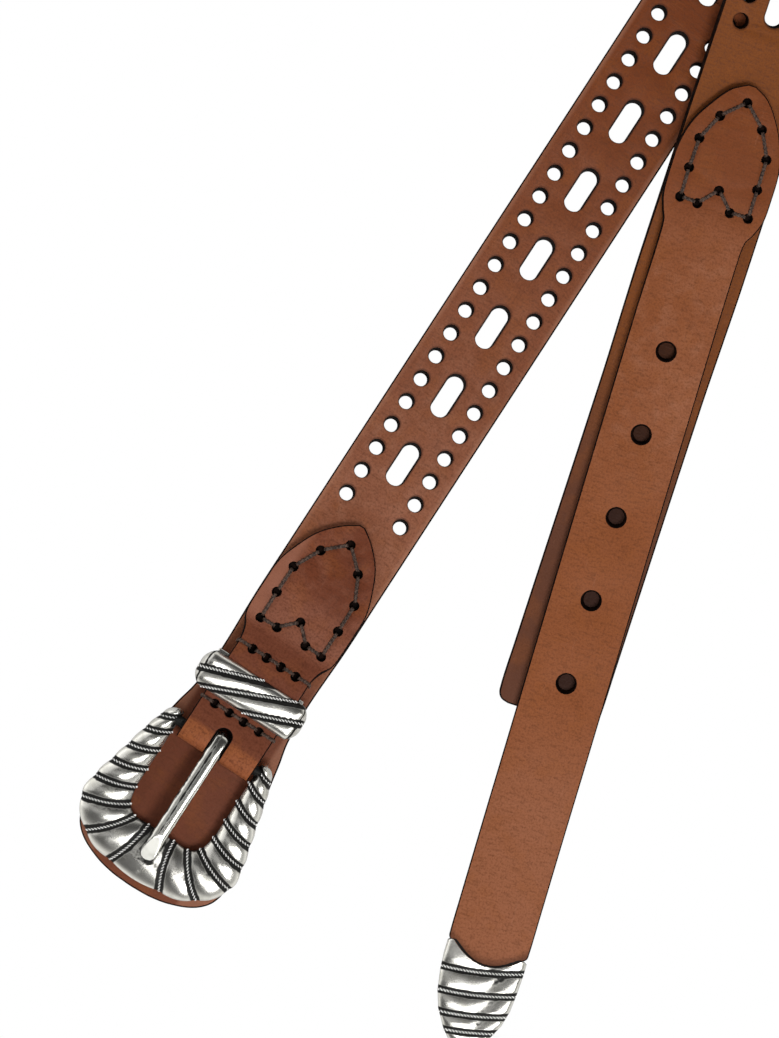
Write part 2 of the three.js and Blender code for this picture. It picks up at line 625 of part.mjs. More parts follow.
function frameStations() {
  const right = [FRAME_ARM_TOP, ...FRAME_ROPES];
  const left = right.slice().reverse().map((row) => (
    { ...row, innerX: -row.innerX, outerX: -row.outerX }));
  const rows = [...right, ...left];
  const between = (a, b, share, bulge) => {
    const mix = (field) => THREE.MathUtils.lerp(a[field], b[field], share);
    const middle = new THREE.Vector2(mix('outerX'), mix('outerY'));
    const out = new THREE.Vector2(a.outerY - b.outerY, b.outerX - a.outerX).normalize();
    middle.addScaledVector(out, -bulge);
    return { innerX: mix('innerX'), innerY: mix('innerY'), outerX: middle.x, outerY: middle.y };
  };
  const stations = [{ ...rows[0], height: LOBE_HEIGHTS.groove }];
  for (let i = 1; i < rows.length; i += 1) {
    const [a, b] = [rows[i - 1], rows[i]];
    const heights = i === right.length ? SEAT_HEIGHTS : LOBE_HEIGHTS;
    LOBE_ROWS.forEach(({ share, bulge, level }) => (
      stations.push({ ...between(a, b, share, bulge), height: heights[level] })));
    const isRope = i < rows.length - 1;
    stations.push({ ...b, height: isRope ? ROPE_HEIGHT : LOBE_HEIGHTS.groove });
  }
  return stations;
}

function frameRing(station) {
  const ring = FRAME_ACROSS.map(({ share, height }) => {
    const x = THREE.MathUtils.lerp(station.innerX, station.outerX, share);
    const y = THREE.MathUtils.lerp(station.innerY, station.outerY, share);
    return [BUCKLE_X + x, y, interpolate(FRAME_UNDER, 'y', 'z', y) + station.height * height];
  });
  const foot = (x, y) => [BUCKLE_X + x, y, interpolate(FRAME_UNDER, 'y', 'z', y)];
  return [foot(station.innerX, station.innerY), ...ring, foot(station.outerX, station.outerY)];
}

function loftGeometry(rings) {
  const positions = [];
  const sides = rings[0].length;
  const triangle = (...points) => points.forEach((point) => positions.push(...point));
  for (let i = 1; i < rings.length; i += 1) {
    for (let j = 0; j < sides; j += 1) {
      const k = (j + 1) % sides;
      triangle(rings[i - 1][j], rings[i][k], rings[i - 1][k]);
      triangle(rings[i - 1][j], rings[i][j], rings[i][k]);
    }
  }
  const [first, last] = [rings[0], rings[rings.length - 1]];
  for (let j = 1; j < sides - 1; j += 1) {
    triangle(first[0], first[j], first[j + 1]);
    triangle(last[0], last[j + 1], last[j]);
  }
  const geometry = new THREE.BufferGeometry();
  geometry.setAttribute('position', new THREE.Float32BufferAttribute(positions, 3));
  return geometry;
}

function buckleFrame() {
  const bow = toSolid(loftGeometry(frameStations().map(frameRing)));
  const barLength = 2 * (FRAME_ARM_TOP.innerX + BAR_INTO_ARMS);
  const bar = new THREE.CylinderGeometry(BAR_RADIUS, BAR_RADIUS, barLength, BAR_SIDES);
  bar.rotateZ(Math.PI / 2).translate(BUCKLE_X, BAR_Y, BAR_Z);
  return toGeometry(bow.add(toSolid(bar)));
}

// Prong: a ring round the bar and a tongue that rests on the front of the frame.
const PRONG_TONGUE = [
  { y: -103.5, z: 11.2 },
  { y: -112, z: 11.5 },
  { y: -130, z: 11.2 },
  { y: -135.6, z: 10.9 },
  { y: -137.8, z: 9.9 },
  { y: -137.5, z: 8.7 },
  { y: -130, z: 8.65 },
  { y: -112, z: 8.9 },
  { y: -104.5, z: 8.3 },
];
const PRONG_RING = { from: 183.6 * DEGREE, to: 450 * DEGREE, steps: 6 };
const PRONG_BEVEL = 0.7;
const PRONG_BORE_RADIUS = 1.95;

function prong() {
  const side = new THREE.Shape();
  side.moveTo(PRONG_TONGUE.at(-1).y, PRONG_TONGUE.at(-1).z);
  side.absarc(BAR_Y, BAR_Z, PRONG_RING_RADIUS, PRONG_RING.from, PRONG_RING.to, false);
  PRONG_TONGUE.slice(0, -1).forEach(({ y, z }) => side.lineTo(y, z));
  const geometry = new THREE.ExtrudeGeometry(side, {
    depth: PRONG_WIDTH - 2 * PRONG_BEVEL,
    bevelThickness: PRONG_BEVEL,
    bevelSize: PRONG_BEVEL,
    bevelOffset: -PRONG_BEVEL,
    bevelSegments: 1,
    curveSegments: PRONG_RING.steps,
  });
  geometry.translate(0, 0, BUCKLE_X - PRONG_WIDTH / 2 + PRONG_BEVEL);
  const basis = new THREE.Matrix4().makeBasis(...SIDEWAYS.map((axis) => new THREE.Vector3(...axis)));
  const boreLength = PRONG_WIDTH + OVERSHOOT;
  const bore = new THREE.CylinderGeometry(PRONG_BORE_RADIUS, PRONG_BORE_RADIUS, boreLength, BAR_SIDES);
  bore.rotateZ(Math.PI / 2).translate(BUCKLE_X, BAR_Y, BAR_Z);
  return toGeometry(toSolid(geometry.applyMatrix4(basis)).subtract(toSolid(bore)));
}

function named(name, geometry, finish) {
  const flat = geometry.index ? geometry.toNonIndexed() : geometry;
  flat.computeVertexNormals();
  const mesh = new THREE.Mesh(flat, new THREE.MeshStandardMaterial(finish));
  mesh.name = name;
  return mesh;
}

// The tip cap lies in the billet's plan, on the ground.
function placeOnBillet(mesh) {
  const point = onBillet(-TIP_POINT.s, TIP_POINT.t, 0);
  const mouth = onBillet(-TIP_MOUTH.low.s, TIP_POINT.t, 0);
  const angle = Math.atan2(mouth.y - point.y, mouth.x - point.x) - Math.PI / 2;
  const turned = new THREE.Vector2(TIP_POINT.t, TIP_POINT.s).rotateAround(new THREE.Vector2(), angle);
  mesh.rotation.z = angle;
  mesh.position.set(point.x - turned.x, point.y - turned.y, 0);
  return mesh;
}

const belt = new THREE.Group();
belt.name = 'perforated_leather_belt';
belt.add(
  named('main_strap', mainStrap(), LEATHER),
  named('chape', chape(), CHAPE_LEATHER),
  named('billet_strap', billetStrap(), BILLET_LEATHER),
  named('buckle_frame', buckleFrame(), SILVER),
  named('prong', prong(), SILVER),
  named('keeper', keeper(), SILVER),
  placeOnBillet(named('tip_cap', tipCap(), SILVER)),
);

// The origin is under the middle of the belt.
const bounds = new THREE.Box3().setFromObject(belt, true);
const middle = bounds.getCenter(new THREE.Vector3());
belt.position.set(-middle.x, -middle.y, -bounds.min.z);

export default belt;
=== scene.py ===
"""A perforated leather belt with an antique silver buckle set, lying unfastened on a pale table."""

import json
import math

import bmesh
import bpy
from mathutils import Matrix, Vector
from mathutils.geometry import interpolate_bezier


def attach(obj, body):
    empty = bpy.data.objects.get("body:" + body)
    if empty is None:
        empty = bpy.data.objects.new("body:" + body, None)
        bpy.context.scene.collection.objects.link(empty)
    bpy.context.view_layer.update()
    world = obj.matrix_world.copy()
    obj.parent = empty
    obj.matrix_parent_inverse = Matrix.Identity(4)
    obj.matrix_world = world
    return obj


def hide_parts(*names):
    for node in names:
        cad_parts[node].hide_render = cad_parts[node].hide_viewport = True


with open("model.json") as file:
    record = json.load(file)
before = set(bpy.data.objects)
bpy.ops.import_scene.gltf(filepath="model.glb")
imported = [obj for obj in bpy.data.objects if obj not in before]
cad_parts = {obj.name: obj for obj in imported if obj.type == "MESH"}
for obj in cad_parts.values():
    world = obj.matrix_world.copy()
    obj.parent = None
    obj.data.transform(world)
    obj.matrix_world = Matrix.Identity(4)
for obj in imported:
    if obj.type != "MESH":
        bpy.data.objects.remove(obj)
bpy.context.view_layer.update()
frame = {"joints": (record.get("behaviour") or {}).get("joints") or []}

# Pieces are worked in millimetres from the strap's first slot: x across the buckle's leg, y up it
# and z up from the table. hand_over makes them metres and puts them in the frame.
MM = 0.001
BAR = Vector((-0.6, -98.5, 7.4))
BAR_PIN = Vector(frame["joints"][0]["pos_m"])
BENCH = Matrix.Translation(BAR_PIN - BAR * MM) @ Matrix.Scale(MM, 4)

# The main strap is measured from the end of its tongue. The punches lean a little, so a hole's top
# lies beside its middle.
STRAP_LENGTH = 917.44
STRAP_THICKNESS = 3
STRAP_HALF_WIDTH = 15.9
FIRST_SLOT = 146.5
SLOT_STEP, SLOT_STRAIGHT = 24, 4
PAIR_STEP, PAIR_OFFSET = 8, 9.35
PUNCH_LEAN = Vector((0.165, -0.035, 0))

# The billet is measured from its middle hole, and lies slightly turned on the strap's tail.
MIDDLE_HOLE = STRAP_LENGTH - 61.3
BUCKLE_HOLE_STEP, BUCKLE_HOLE_OFFSET = 25.4, 0.2
BILLET_TURN = math.radians(1.305)
BILLET_SHIFT = -1.35


def set_in_scene(name, data):
    thing = bpy.data.objects.new(name, data)
    bpy.context.scene.collection.objects.link(thing)
    return thing


# Camera and light. The photograph looks straight down and is turned against the buckle's leg.
PHOTO_TURN = math.radians(33.03)
PHOTO_CENTRE = Vector((-0.02673, -0.10641, 0))
PHOTO_HEIGHT = 0.3053
CAMERA_HEIGHT = 1.5
SENSOR = 36


def on_table(right, up, height):
    """A point given as the photograph shows it: metres right, up and towards the camera."""
    return PHOTO_CENTRE + Matrix.Rotation(PHOTO_TURN, 3, "Z") @ Vector((right, up, height))


def set_camera():
    data = bpy.data.cameras.new("overhead_camera")
    data.sensor_fit = "VERTICAL"
    data.sensor_height = SENSOR
    data.lens = SENSOR * CAMERA_HEIGHT / PHOTO_HEIGHT
    data.clip_end = 20
    camera = set_in_scene("overhead_camera", data)
    camera.location = on_table(0, 0, CAMERA_HEIGHT)
    camera.rotation_euler = (0, 0, PHOTO_TURN)
    bpy.context.scene.camera = camera


def softbox(name, place, size, power):
    """A soft rectangular light that faces the middle of the photograph."""
    data = bpy.data.lights.new(name, "AREA")
    data.shape = "RECTANGLE"
    data.size, data.size_y = size
    data.energy = power
    light = set_in_scene(name, data)
    light.location = place
    light.rotation_euler = (place - PHOTO_CENTRE).to_track_quat("Z", "Y").to_euler()


set_camera()
softbox("key_softbox", on_table(0.3, -0.85, 1.45), (0.66, 0.58), 11.8)
softbox("front_softbox", on_table(-0.22, -0.62, 1.6), (0.3, 0.3), 1.9)
softbox("side_softbox", on_table(0.78, -0.5, 1.35), (0.3, 0.4), 4)
softbox("fill_panel", on_table(-1.2, 0.8, 0.9), (2.0, 1.3), 6)
softbox("overhead_panel", on_table(-0.5, 0.05, 1.5), (0.6, 0.9), 0.6)

bpy.context.scene.view_settings.view_transform = "Standard"


# Finishes.
class Wire:
    """One socket of a finish. Arithmetic on it adds the Math nodes."""

    def __init__(self, finish, socket):
        self.finish = finish
        self.socket = socket

    def reckon(self, operation, *values):
        return self.finish.node("Math", {"operation": operation}, dict(enumerate(values)))

    def __add__(self, other):
        return self.reckon("ADD", self, other)

    __radd__ = __add__

    def __mul__(self, other):
        return self.reckon("MULTIPLY", self, other)

    __rmul__ = __mul__

    def __sub__(self, other):
        return self.reckon("SUBTRACT", self, other)

    def __rsub__(self, other):
        return self.reckon("SUBTRACT", other, self)

    def __pow__(self, other):
        return self.reckon("POWER", self, other)

    def __mod__(self, other):
        return self.reckon("FLOORED_MODULO", self, other)

    def __abs__(self):
        return self.reckon("ABSOLUTE", self)

    def larger(self, other):
        return self.reckon("MAXIMUM", self, other)

    def between(self, low, high):
        """Rises smoothly from 0 at low to 1 at high."""
        sockets = {"Value": self, "From Min": low, "From Max": high}
        return self.finish.node("MapRange", {"interpolation_type": "SMOOTHSTEP"}, sockets)


class Finish:
    """A material under way, or the room's walls."""

    def __init__(self, name, made_in=bpy.data.materials):
        self.material = made_in.new(name)
        self.material.use_nodes = True
        self.tree = self.material.node_tree
        self.tree.nodes.clear()

    def node(self, kind, settings, sockets, out=0):
        made = self.tree.nodes.new("ShaderNode" + kind)
        for name, value in settings.items():
            setattr(made, name, value)
        for name, value in sockets.items():
            if isinstance(value, Wire):
                self.tree.links.new(value.socket, made.inputs[name])
            else:
                made.inputs[name].default_value = value
        return Wire(self, made.outputs[out]) if made.outputs else None

    def mix(self, share, one, other):
        """Two colours mixed. The node takes them at sockets 6 and 7 and gives the result at 2."""
        return self.node("Mix", {"data_type": "RGBA"}, {0: share, 6: one, 7: other}, out=2)

    def place(self):
        return self.node("TexCoord", {}, {}, out="Object")

    def clouds(self, vector, scale, detail, roughness=0.5):
        sockets = {"Vector": vector, "Scale": scale, "Detail": detail, "Roughness": roughness}
        return self.node("TexNoise", {}, sockets)

    def stretched(self, vector, scale):
        return self.node("VectorMath", {"operation": "MULTIPLY"}, {0: vector, 1: scale})

    def relief(self, height, distance, strength=1.0):
        return self.node("Bump", {}, {"Height": height, "Distance": distance, "Strength": strength})

    def shade(self, **sockets):
        shader = self.node("BsdfPrincipled", {}, {k.replace("_", " "): v for k, v in sockets.items()})
        self.node("OutputMaterial", {}, {"Surface": shader})
        return self.material


def colour(red, green, blue):
    """A colour as the eye reads it, 0 to 255, made linear by the sRGB curve."""
    linear = [((c / 255 + 0.055) / 1.055) ** 2.4 if c > 10 else c / 3295 for c in (red, green, blue)]
    return (*linear, 1)


def soft_room():
    """White walls round the table, under a dim ceiling."""
    finish = Finish("soft_room", bpy.data.worlds)
    walls, ceiling = (0.97, 0.97, 0.95, 1), (0.045, 0.045, 0.045, 1)
    upward = finish.node("SeparateXYZ", {}, {0: finish.place()}, out="Z")
    room = finish.node("Background", {}, {"Color": finish.mix(upward.between(0.2, 0.7), walls, ceiling)})
    finish.node("OutputWorld", {}, {"Surface": room})
    bpy.context.scene.world = finish.material


soft_room()


AMBER = colour(150, 84, 36)
PUNCH_STAIN_AND_SHADE = colour(40, 20, 14)


def tanned_leather(name, deep, body, pale, wear, turns, wear_and_sheen=None, stain_and_shade=None):
    """Vegetable-tanned leather. Each turn is a start and an end along the strap, in metres, and the
    tone that the dye takes on between them. The pale mask is burnished wear and a painted sheen,
    and the dark one is stains and painted shade."""
    finish = Finish(name)
    plan = finish.node("UVMap", {"uv_map": "plan"}, {})
    along = finish.node("SeparateXYZ", {}, {0: plan}, out="X")
    across = finish.node("SeparateXYZ", {}, {0: plan}, out="Y")
    broad = finish.clouds(plan, 26, 3)
    mottle = finish.clouds(plan, 190, 4, 0.6)
    pores = finish.clouds(plan, 1500, 3, 0.65)
    fibre = finish.clouds(finish.stretched(plan, (1150, 300, 1)), 1, 3)
    scuffs = finish.clouds(finish.stretched(plan, (70, 620, 1)), 1, 4, 0.7).between(0.6, 0.78)
    amber = finish.clouds(plan, 110, 3).between(0.48, 0.66)
    dye = finish.mix(broad.between(0.35, 0.68), deep, body)
    dye = finish.mix(mottle.between(0.42, 0.75) * 0.38, dye, pale)
    for start, end, tone in turns:
        wander = (broad - 0.5) * abs(end - start) * 0.8
        dye = finish.mix((along + wander).between(start, end) * (0.72 + mottle * 0.25), dye, tone)
    dye = finish.mix(amber * 0.24, dye, AMBER)
    dye = finish.mix(scuffs * wear, dye, pale)
    grain = pores.between(0.42, 0.68) * 0.44 + fibre.between(0.46, 0.7) * 0.3
    dye = finish.mix(grain, dye, (*(c * 0.5 for c in deep[:3]), 1))
    # Pale mask: burnished wear and painted sheen. Dark mask: stains and painted shade.
    if wear_and_sheen:
        dye = finish.mix(wear_and_sheen(along, across) * (0.3 + broad.between(0.3, 0.6) * 0.7), dye, pale)
    if stain_and_shade:
        dye = finish.mix(stain_and_shade(along, across) * 0.5, dye, PUNCH_STAIN_AND_SHADE)
    creases = finish.clouds(finish.stretched(plan, (1100, 170, 1)), 1, 3, 0.65)
    patches = finish.clouds(plan, 38, 1).between(0.48, 0.66)
    height = pores * 0.35 + fibre * 0.25 + creases * patches * 0.7
    return finish.shade(
        Base_Color=dye, Roughness=0.5 + mottle * 0.14 - scuffs * 0.05,
        Normal=finish.relief(height, 0.0003, 0.9), IOR=1.45, Specular_IOR_Level=0.18,
    )


def burnish_and_sheen_rims(along, across):
    """The strap's rims are paler on the buckle's leg: partly burnished, partly a painted sheen of the
    rims catching the light.
    """
    return abs(across).between(0.0138, 0.0154) * (1 - along.between(0.6, 0.68)) * 0.5


def painted_sheen_margin(along, across):
    """Painted highlight: the chape's spade is paler left of its stitches, as a sheen of the light."""
    return (1 - across.between(-0.0122, -0.0092)) * (1 - along.between(0.036, 0.042)) * 0.75


def painted_shade_by_cap(along, across):
    """Painted shade: the billet's leather darkens where it enters the tip cap's scooped mouth."""
    return (along + (across - 0.0007) ** 2 * 42.6).between(0.1335, 0.1372) * 1.1


def from_nearest(along, first, step):
    """How far the nearest of a row of holes is, in metres. The row is given in millimetres."""
    return (along - (first - step / 2) * MM) % (step * MM) - step / 2 * MM


def apart(beside, above):
    return (beside ** 2 + above ** 2) ** 0.5


def around_holes(along, across):
    """Dark rims round the slots and the pairs of holes, and painted shade in spots under the billet's
    holes.
    """
    first = FIRST_SLOT + PUNCH_LEAN.x * STRAP_THICKNESS / 2
    from_pair = apart(from_nearest(along, first, PAIR_STEP), abs(across) - PAIR_OFFSET * MM)
    beyond = (abs(from_nearest(along, first, SLOT_STEP)) - SLOT_STRAIGHT * MM).larger(0)
    slot_rim = (1 - apart(beyond, across).between(0.0031, 0.0036)) * along.between(0.1365, 0.1375)
    rims = (1 - from_pair.between(0.0024, 0.0029)).larger(slot_rim)
    punched = along.between(0.1265, 0.1275) * (1 - along.between(0.7095, 0.7105))
    line = (along - MIDDLE_HOLE * MM) * math.tan(BILLET_TURN) + (BUCKLE_HOLE_OFFSET - BILLET_SHIFT) * MM
    # The spots under the billet's holes are painted shade on the strap below.
    from_hole = apart(from_nearest(along, MIDDLE_HOLE, BUCKLE_HOLE_STEP), across - line)
    spots = (1 - from_hole.between(0.0026, 0.0034)) * along.between(0.79, 0.8)
    return (rims * punched).larger(spots * 1.55)


def streaky(name, scale, detail, dark, pale, rough, uneven, bump, shine):
    """The streaked finish of the painted edges and of the waxed thread."""
    finish = Finish(name)
    streaks = finish.clouds(finish.place(), scale, detail)
    return finish.shade(
        Base_Color=finish.mix(streaks.between(0.35, 0.7), dark, pale), Roughness=rough + streaks * uneven,
        Normal=finish.relief(streaks, 0.0002, bump), Specular_IOR_Level=shine,
    )


OXIDE_AND_SHADE = colour(22, 21, 19)
DULL_SILVER = colour(156, 153, 138)


def antique_silver(name, bright, rough, metallic=1.0, cast_relief=0.5):
    """Polished cast silver, with black oxide, painted shade and painted dark reflections where the
    piece's darkening attribute puts them, and a duller, filed face where that is below zero."""
    finish = Finish(name)
    place = finish.place()
    tarnish_and_shade = finish.node("Attribute", {"attribute_name": "tarnish_and_shade"}, {}, out="Fac")
    specks = finish.clouds(place, 1400, 3)
    cast = finish.clouds(place, 250, 2)
    smudge = finish.clouds(place, 320, 4, 0.6)
    hammered = finish.clouds(place, 170, 0)
    oxide_and_shade = (tarnish_and_shade + (smudge - 0.5) * 1.3 + (specks - 0.5) * 0.3).between(0.36, 0.82)
    haze = cast.between(0.45, 0.75) * 0.35 * metallic
    filed = tarnish_and_shade.between(-0.3, -0.9)
    return finish.shade(
        Base_Color=finish.mix(oxide_and_shade, finish.mix(haze, bright, DULL_SILVER), OXIDE_AND_SHADE),
        Metallic=metallic - oxide_and_shade * 0.5, Roughness=rough + cast * 0.08 + oxide_and_shade * 0.3 + filed * 0.3,
        Normal=finish.relief(hammered + specks * 0.003, 0.0006, cast_relief),
    )


# The strap's first turn darkens the tongue end, in and below the buckle's window: painted shade from the
# frame and the prong.
STRAP_LEATHER = tanned_leather(
    "strap_leather", colour(138, 81, 55), colour(155, 97, 71), colour(174, 121, 96), 0.2,
    [(0.09, 0.06, colour(116, 61, 41)), (0.13, 0.3, colour(121, 57, 19)),
     (0.55, 0.65, colour(136, 76, 32)), (0.8, 0.86, colour(98, 61, 47))],
    burnish_and_sheen_rims, around_holes,
)
# In the chape, the pale turn on the spade's lower middle is a painted highlight, and the next turn takes
# the dye back to its deep tone past it.
CHAPE_LEATHER = tanned_leather(
    "chape_leather", colour(113, 56, 32), colour(128, 69, 45), colour(158, 102, 80), 0.3,
    [(0.018, 0.036, colour(146, 90, 68)), (0.037, 0.043, colour(116, 61, 40)),
     (0.0741, 0.0756, colour(162, 93, 56))],
    painted_sheen_margin,
)
BILLET_LEATHER = tanned_leather(
    "billet_leather", colour(147, 83, 47), colour(161, 98, 65), colour(176, 119, 91), 0.3,
    [(-0.03, 0.0, colour(149, 84, 47)), (0.06, 0.09, colour(160, 99, 68)),
     (-0.07, -0.1, colour(127, 64, 29))],
    stain_and_shade=painted_shade_by_cap,
)
EDGE_PAINT = streaky("edge_paint", 500, 3, colour(11, 7, 6), colour(34, 20, 15), 0.5, 0.25, 0.6, 0.04)
THREAD = streaky("waxed_thread", 1800, 2, colour(44, 31, 25), colour(100, 79, 68), 0.55, 0.1, 1.0, 0.25)
SILVER = antique_silver("antique_silver", colour(230, 228, 221), 0.22)
POLISHED_SILVER = antique_silver("polished_silver", colour(228, 227, 220), 0.14, cast_relief=0.05)
ROPE_SILVER = antique_silver("rope_silver", colour(255, 254, 251), 0.42, 0.1, 0.0)
ROPED = [SILVER, ROPE_SILVER]


# Measuring helpers.
def smooth(value, start, end):
    share = min(max((value - start) / (end - start), 0), 1)
    return share * share * (3 - 2 * share)


def lerp(a, b, share):
    return a + (b - a) * share


def spread(start, end, count):
    """Values evenly spread from start to end."""
    return [lerp(start, end, i / (count - 1)) for i in range(count)]


def read_off(table, at):
    """A straight-line reading of a table of (place, value) rows."""
    if at <= table[0][0]:
        return table[0][1]
    for (a, low), (b, high) in zip(table, table[1:]):
        if at <= b:
            return lerp(low, high, (at - a) / (b - a))
    return table[-1][1]


def running_lengths(points):
    """How long a line is up to each of its points."""
    reach = [0.0]
    for before, after in zip(points, points[1:]):
        reach.append(reach[-1] + (after - before).length)
    return reach


def find(reach, at):
    """The later point of the step in which a length falls, and the share of that step."""
    after = next((i for i, length in enumerate(reach) if length >= at and i), len(reach) - 1)
    return after, (at - reach[after - 1]) / (reach[after] - reach[after - 1])


def squarish(angle, *powers):
    """The cosine and sine of an angle, each made squarer by its power under 1."""
    both = zip((math.cos(angle), math.sin(angle)), powers)
    return [math.copysign(abs(value) ** power, value) for value, power in both]


def quarter(share):
    """Height of a quarter circle, some share of the way in from its foot."""
    return math.sqrt(1 - (1 - min(max(share, 0), 1)) ** 2)


def curve_through(points, steps):
    """A smooth line through a few points."""
    points = [Vector(point) for point in points]
    last = len(points) - 1
    runs = [(points[min(i + 1, last)] - points[max(i - 1, 0)]).normalized() for i in range(last + 1)]
    line = [points[0]]
    for i in range(last):
        reach = (points[i + 1] - points[i]).length / 3
        handles = points[i] + runs[i] * reach, points[i + 1] - runs[i + 1] * reach
        line += interpolate_bezier(points[i], *handles, points[i + 1], steps + 1)[1:]
    return line


# The strap's way: straight up the buckle's leg, one round turn on its edge, and down the billet's
# leg. Each stretch is a length and a bend.
TURN_START, TURN_END = 321.7, 693.94
STRAP_ROUTE = (
    (TURN_START, 0), (39.17828, 1 / 150), (42.94381, 1 / 60), (207.99583, -1 / 43.02554),
    (42.94381, 1 / 60), (39.17828, 1 / 150), (223.5, 0),
)
ROLL_UP, ROLL_DOWN = (12, 112), (0, 66)
BILLET_LEG_START = 162.2
BILLET_LEG_ROLL = ((60, 0), (110, 6.4), (BILLET_LEG_START, 12))


def travel(stretch, distance):
    """Where and which way the strap's middle line points, some distance along one stretch of it."""
    _, x, y, heading, bend = stretch
    turned = heading + bend * distance
    if not bend:
        return x + distance * math.cos(turned), y + distance * math.sin(turned), turned
    east = (math.sin(turned) - math.sin(heading)) / bend
    north = (math.cos(heading) - math.cos(turned)) / bend
    return x + east, y + north, turned


def lay_out_route():
    stretches = []
    start, here = 0, (0, -FIRST_SLOT, math.pi / 2)
    for length, bend in STRAP_ROUTE:
        stretches.append((start, *here, bend))
        start += length
        here = travel(stretches[-1], length)
    return stretches


ROUTE = lay_out_route()


def roll_at(u):
    """How far the strap is rolled onto its edge. It still leans a little on the billet's leg."""
    if u < (TURN_START + TURN_END) / 2:
        return math.radians(90 * smooth(u - TURN_START, *ROLL_UP))
    beyond = TURN_END - u
    leaning = read_off(BILLET_LEG_ROLL, BILLET_LEG_START + beyond)
    return math.radians(lerp(leaning, 90, smooth(beyond, *ROLL_DOWN)))


def on_strap(u, v, w):
    """A point of the strap: u along it, v to the left of travel, w up from the leather's middle."""
    stretch = next(row for row in reversed(ROUTE) if u >= row[0] or row is ROUTE[0])
    x, y, heading = travel(stretch, u - stretch[0])
    roll = roll_at(u)
    left = Vector((-math.sin(heading), math.cos(heading), 0))
    up = Vector((0, 0, 1))
    across = left * math.cos(roll) - up * math.sin(roll)
    through = up * math.cos(roll) + left * math.sin(roll)
    height = STRAP_HALF_WIDTH * math.sin(roll) + STRAP_THICKNESS / 2 * math.cos(roll)
    return Vector((x, y, height)) + across * v + through * w


# The chape and the billet are of thinner leather and lie a hair above the strap. Past the tail the
# billet sags to the table, where the tip cap lies.
SMALL_THICKNESS = 2.2
GAP = 0.3
ABOVE_MIDDLE = STRAP_THICKNESS / 2 + GAP + SMALL_THICKNESS / 2
TIP_MIDDLE = 2.2
BILLET_SAG = ABOVE_MIDDLE + STRAP_THICKNESS / 2 - TIP_MIDDLE
SAG_START, SAG_END = 63, 100


def on_billet(down, right, w):
    """A point of the billet: down from its middle hole, right of its holes, up from its middle."""
    shifted = right - BILLET_SHIFT
    u = -down * math.cos(BILLET_TURN) + shifted * math.sin(BILLET_TURN)
    v = shifted * math.cos(BILLET_TURN) + down * math.sin(BILLET_TURN)
    sag = BILLET_SAG * smooth(down, SAG_START, SAG_END)
    return on_strap(MIDDLE_HOLE - u, v, ABOVE_MIDDLE - sag + w)


def on_tip(down, right, height):
    """A point of the tip cap, which lies flat on the table at the billet's end."""
    place = on_billet(down, right, 0)
    return Vector((place.x, place.y, height))


# The chape's way, as places up the strap and heights: from the spade's point over the keeper's
# floor, round the bar and back under.
CHAPE_X = -0.1
ON_STRAP = STRAP_THICKNESS + GAP + SMALL_THICKNESS / 2
FOLD_RADIUS = 3.0
CHAPE_WAY = curve_through(
    [(-22, ON_STRAP), (-40, ON_STRAP), (-60, ON_STRAP), (-63.5, ON_STRAP + 0.5), (-68, ON_STRAP + 2.4),
     (-73, ON_STRAP + 3.7), (-88, ON_STRAP + 3.7), (-95.1, BAR.z + FOLD_RADIUS - 0.5)]
    + [(BAR.y - FOLD_RADIUS * math.sin(math.radians(a)), BAR.z + FOLD_RADIUS * math.cos(math.radians(a)))
       for a in range(0, 181, 20)]
    + [(-96.2, ON_STRAP), (-89.8, ON_STRAP), (-87.8, ON_STRAP + 1.2), (-73.6, ON_STRAP + 1.2),
       (-72.2, ON_STRAP), (-70, ON_STRAP)],
    6,
)
CHAPE_REACH = running_lengths(CHAPE_WAY)


def on_chape(u, v, w):
    """A point of the chape: u along its way, v right of its middle, w up from the leather's middle."""
    after, share = find(CHAPE_REACH, u)
    middle = CHAPE_WAY[after - 1].lerp(CHAPE_WAY[after], share)

    def normal(i):
        run = (CHAPE_WAY[min(i + 1, len(CHAPE_WAY) - 1)] - CHAPE_WAY[max(i - 1, 0)]).normalized()
        return Vector((run.y, -run.x))

    up = normal(after - 1).lerp(normal(after), share).normalized()
    return Vector((CHAPE_X + v, middle.x + up.x * w, middle.y + up.y * w))


def along_chape(y):
    """How far along the chape's top layer a place up the strap is."""
    after = next(i for i, point in enumerate(CHAPE_WAY) if point.x <= y)
    if not after:
        return y - CHAPE_WAY[0].x
    share = (y - CHAPE_WAY[after - 1].x) / (CHAPE_WAY[after].x - CHAPE_WAY[after - 1].x)
    return lerp(CHAPE_REACH[after - 1], CHAPE_REACH[after], share)


# Making.
def hand_over(bm, name, body, materials, stands_for=(), crease=35):
    """Makes a worked piece an object in metres, in its place, that rides on its body. Edges sharper
    than crease, in degrees, stay sharp."""
    bmesh.ops.transform(bm, matrix=BENCH, verts=bm.verts[:])
    bmesh.ops.recalc_face_normals(bm, faces=bm.faces[:])
    mesh = bpy.data.meshes.new(name)
    bm.to_mesh(mesh)
    bm.free()
    mesh.shade_smooth()
    mesh.set_sharp_from_angle(angle=math.radians(crease))
    for material in materials:
        mesh.materials.append(material)
    piece = set_in_scene(name, mesh)
    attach(piece, body)
    if stands_for:
        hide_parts(*stands_for)


def score(bm, where, facing, snap):
    """Parts the faces of a piece along a plane."""
    everything = bm.verts[:] + bm.edges[:] + bm.faces[:]
    bmesh.ops.bisect_plane(bm, geom=everything, dist=snap, plane_co=where, plane_no=facing)


def close_ends(bm):
    bmesh.ops.holes_fill(bm, edges=[edge for edge in bm.edges if edge.is_boundary])


OUTLINE_STEPS = 8
RIM_DEPTHS = (0.06, 0.2, 0.45)
BACK_RIM_DEPTH, BACK_EASE, HOLE_RIM = 0.3, 0.35, 0.12
MERGE, SNAP = 1e-3, 1e-4


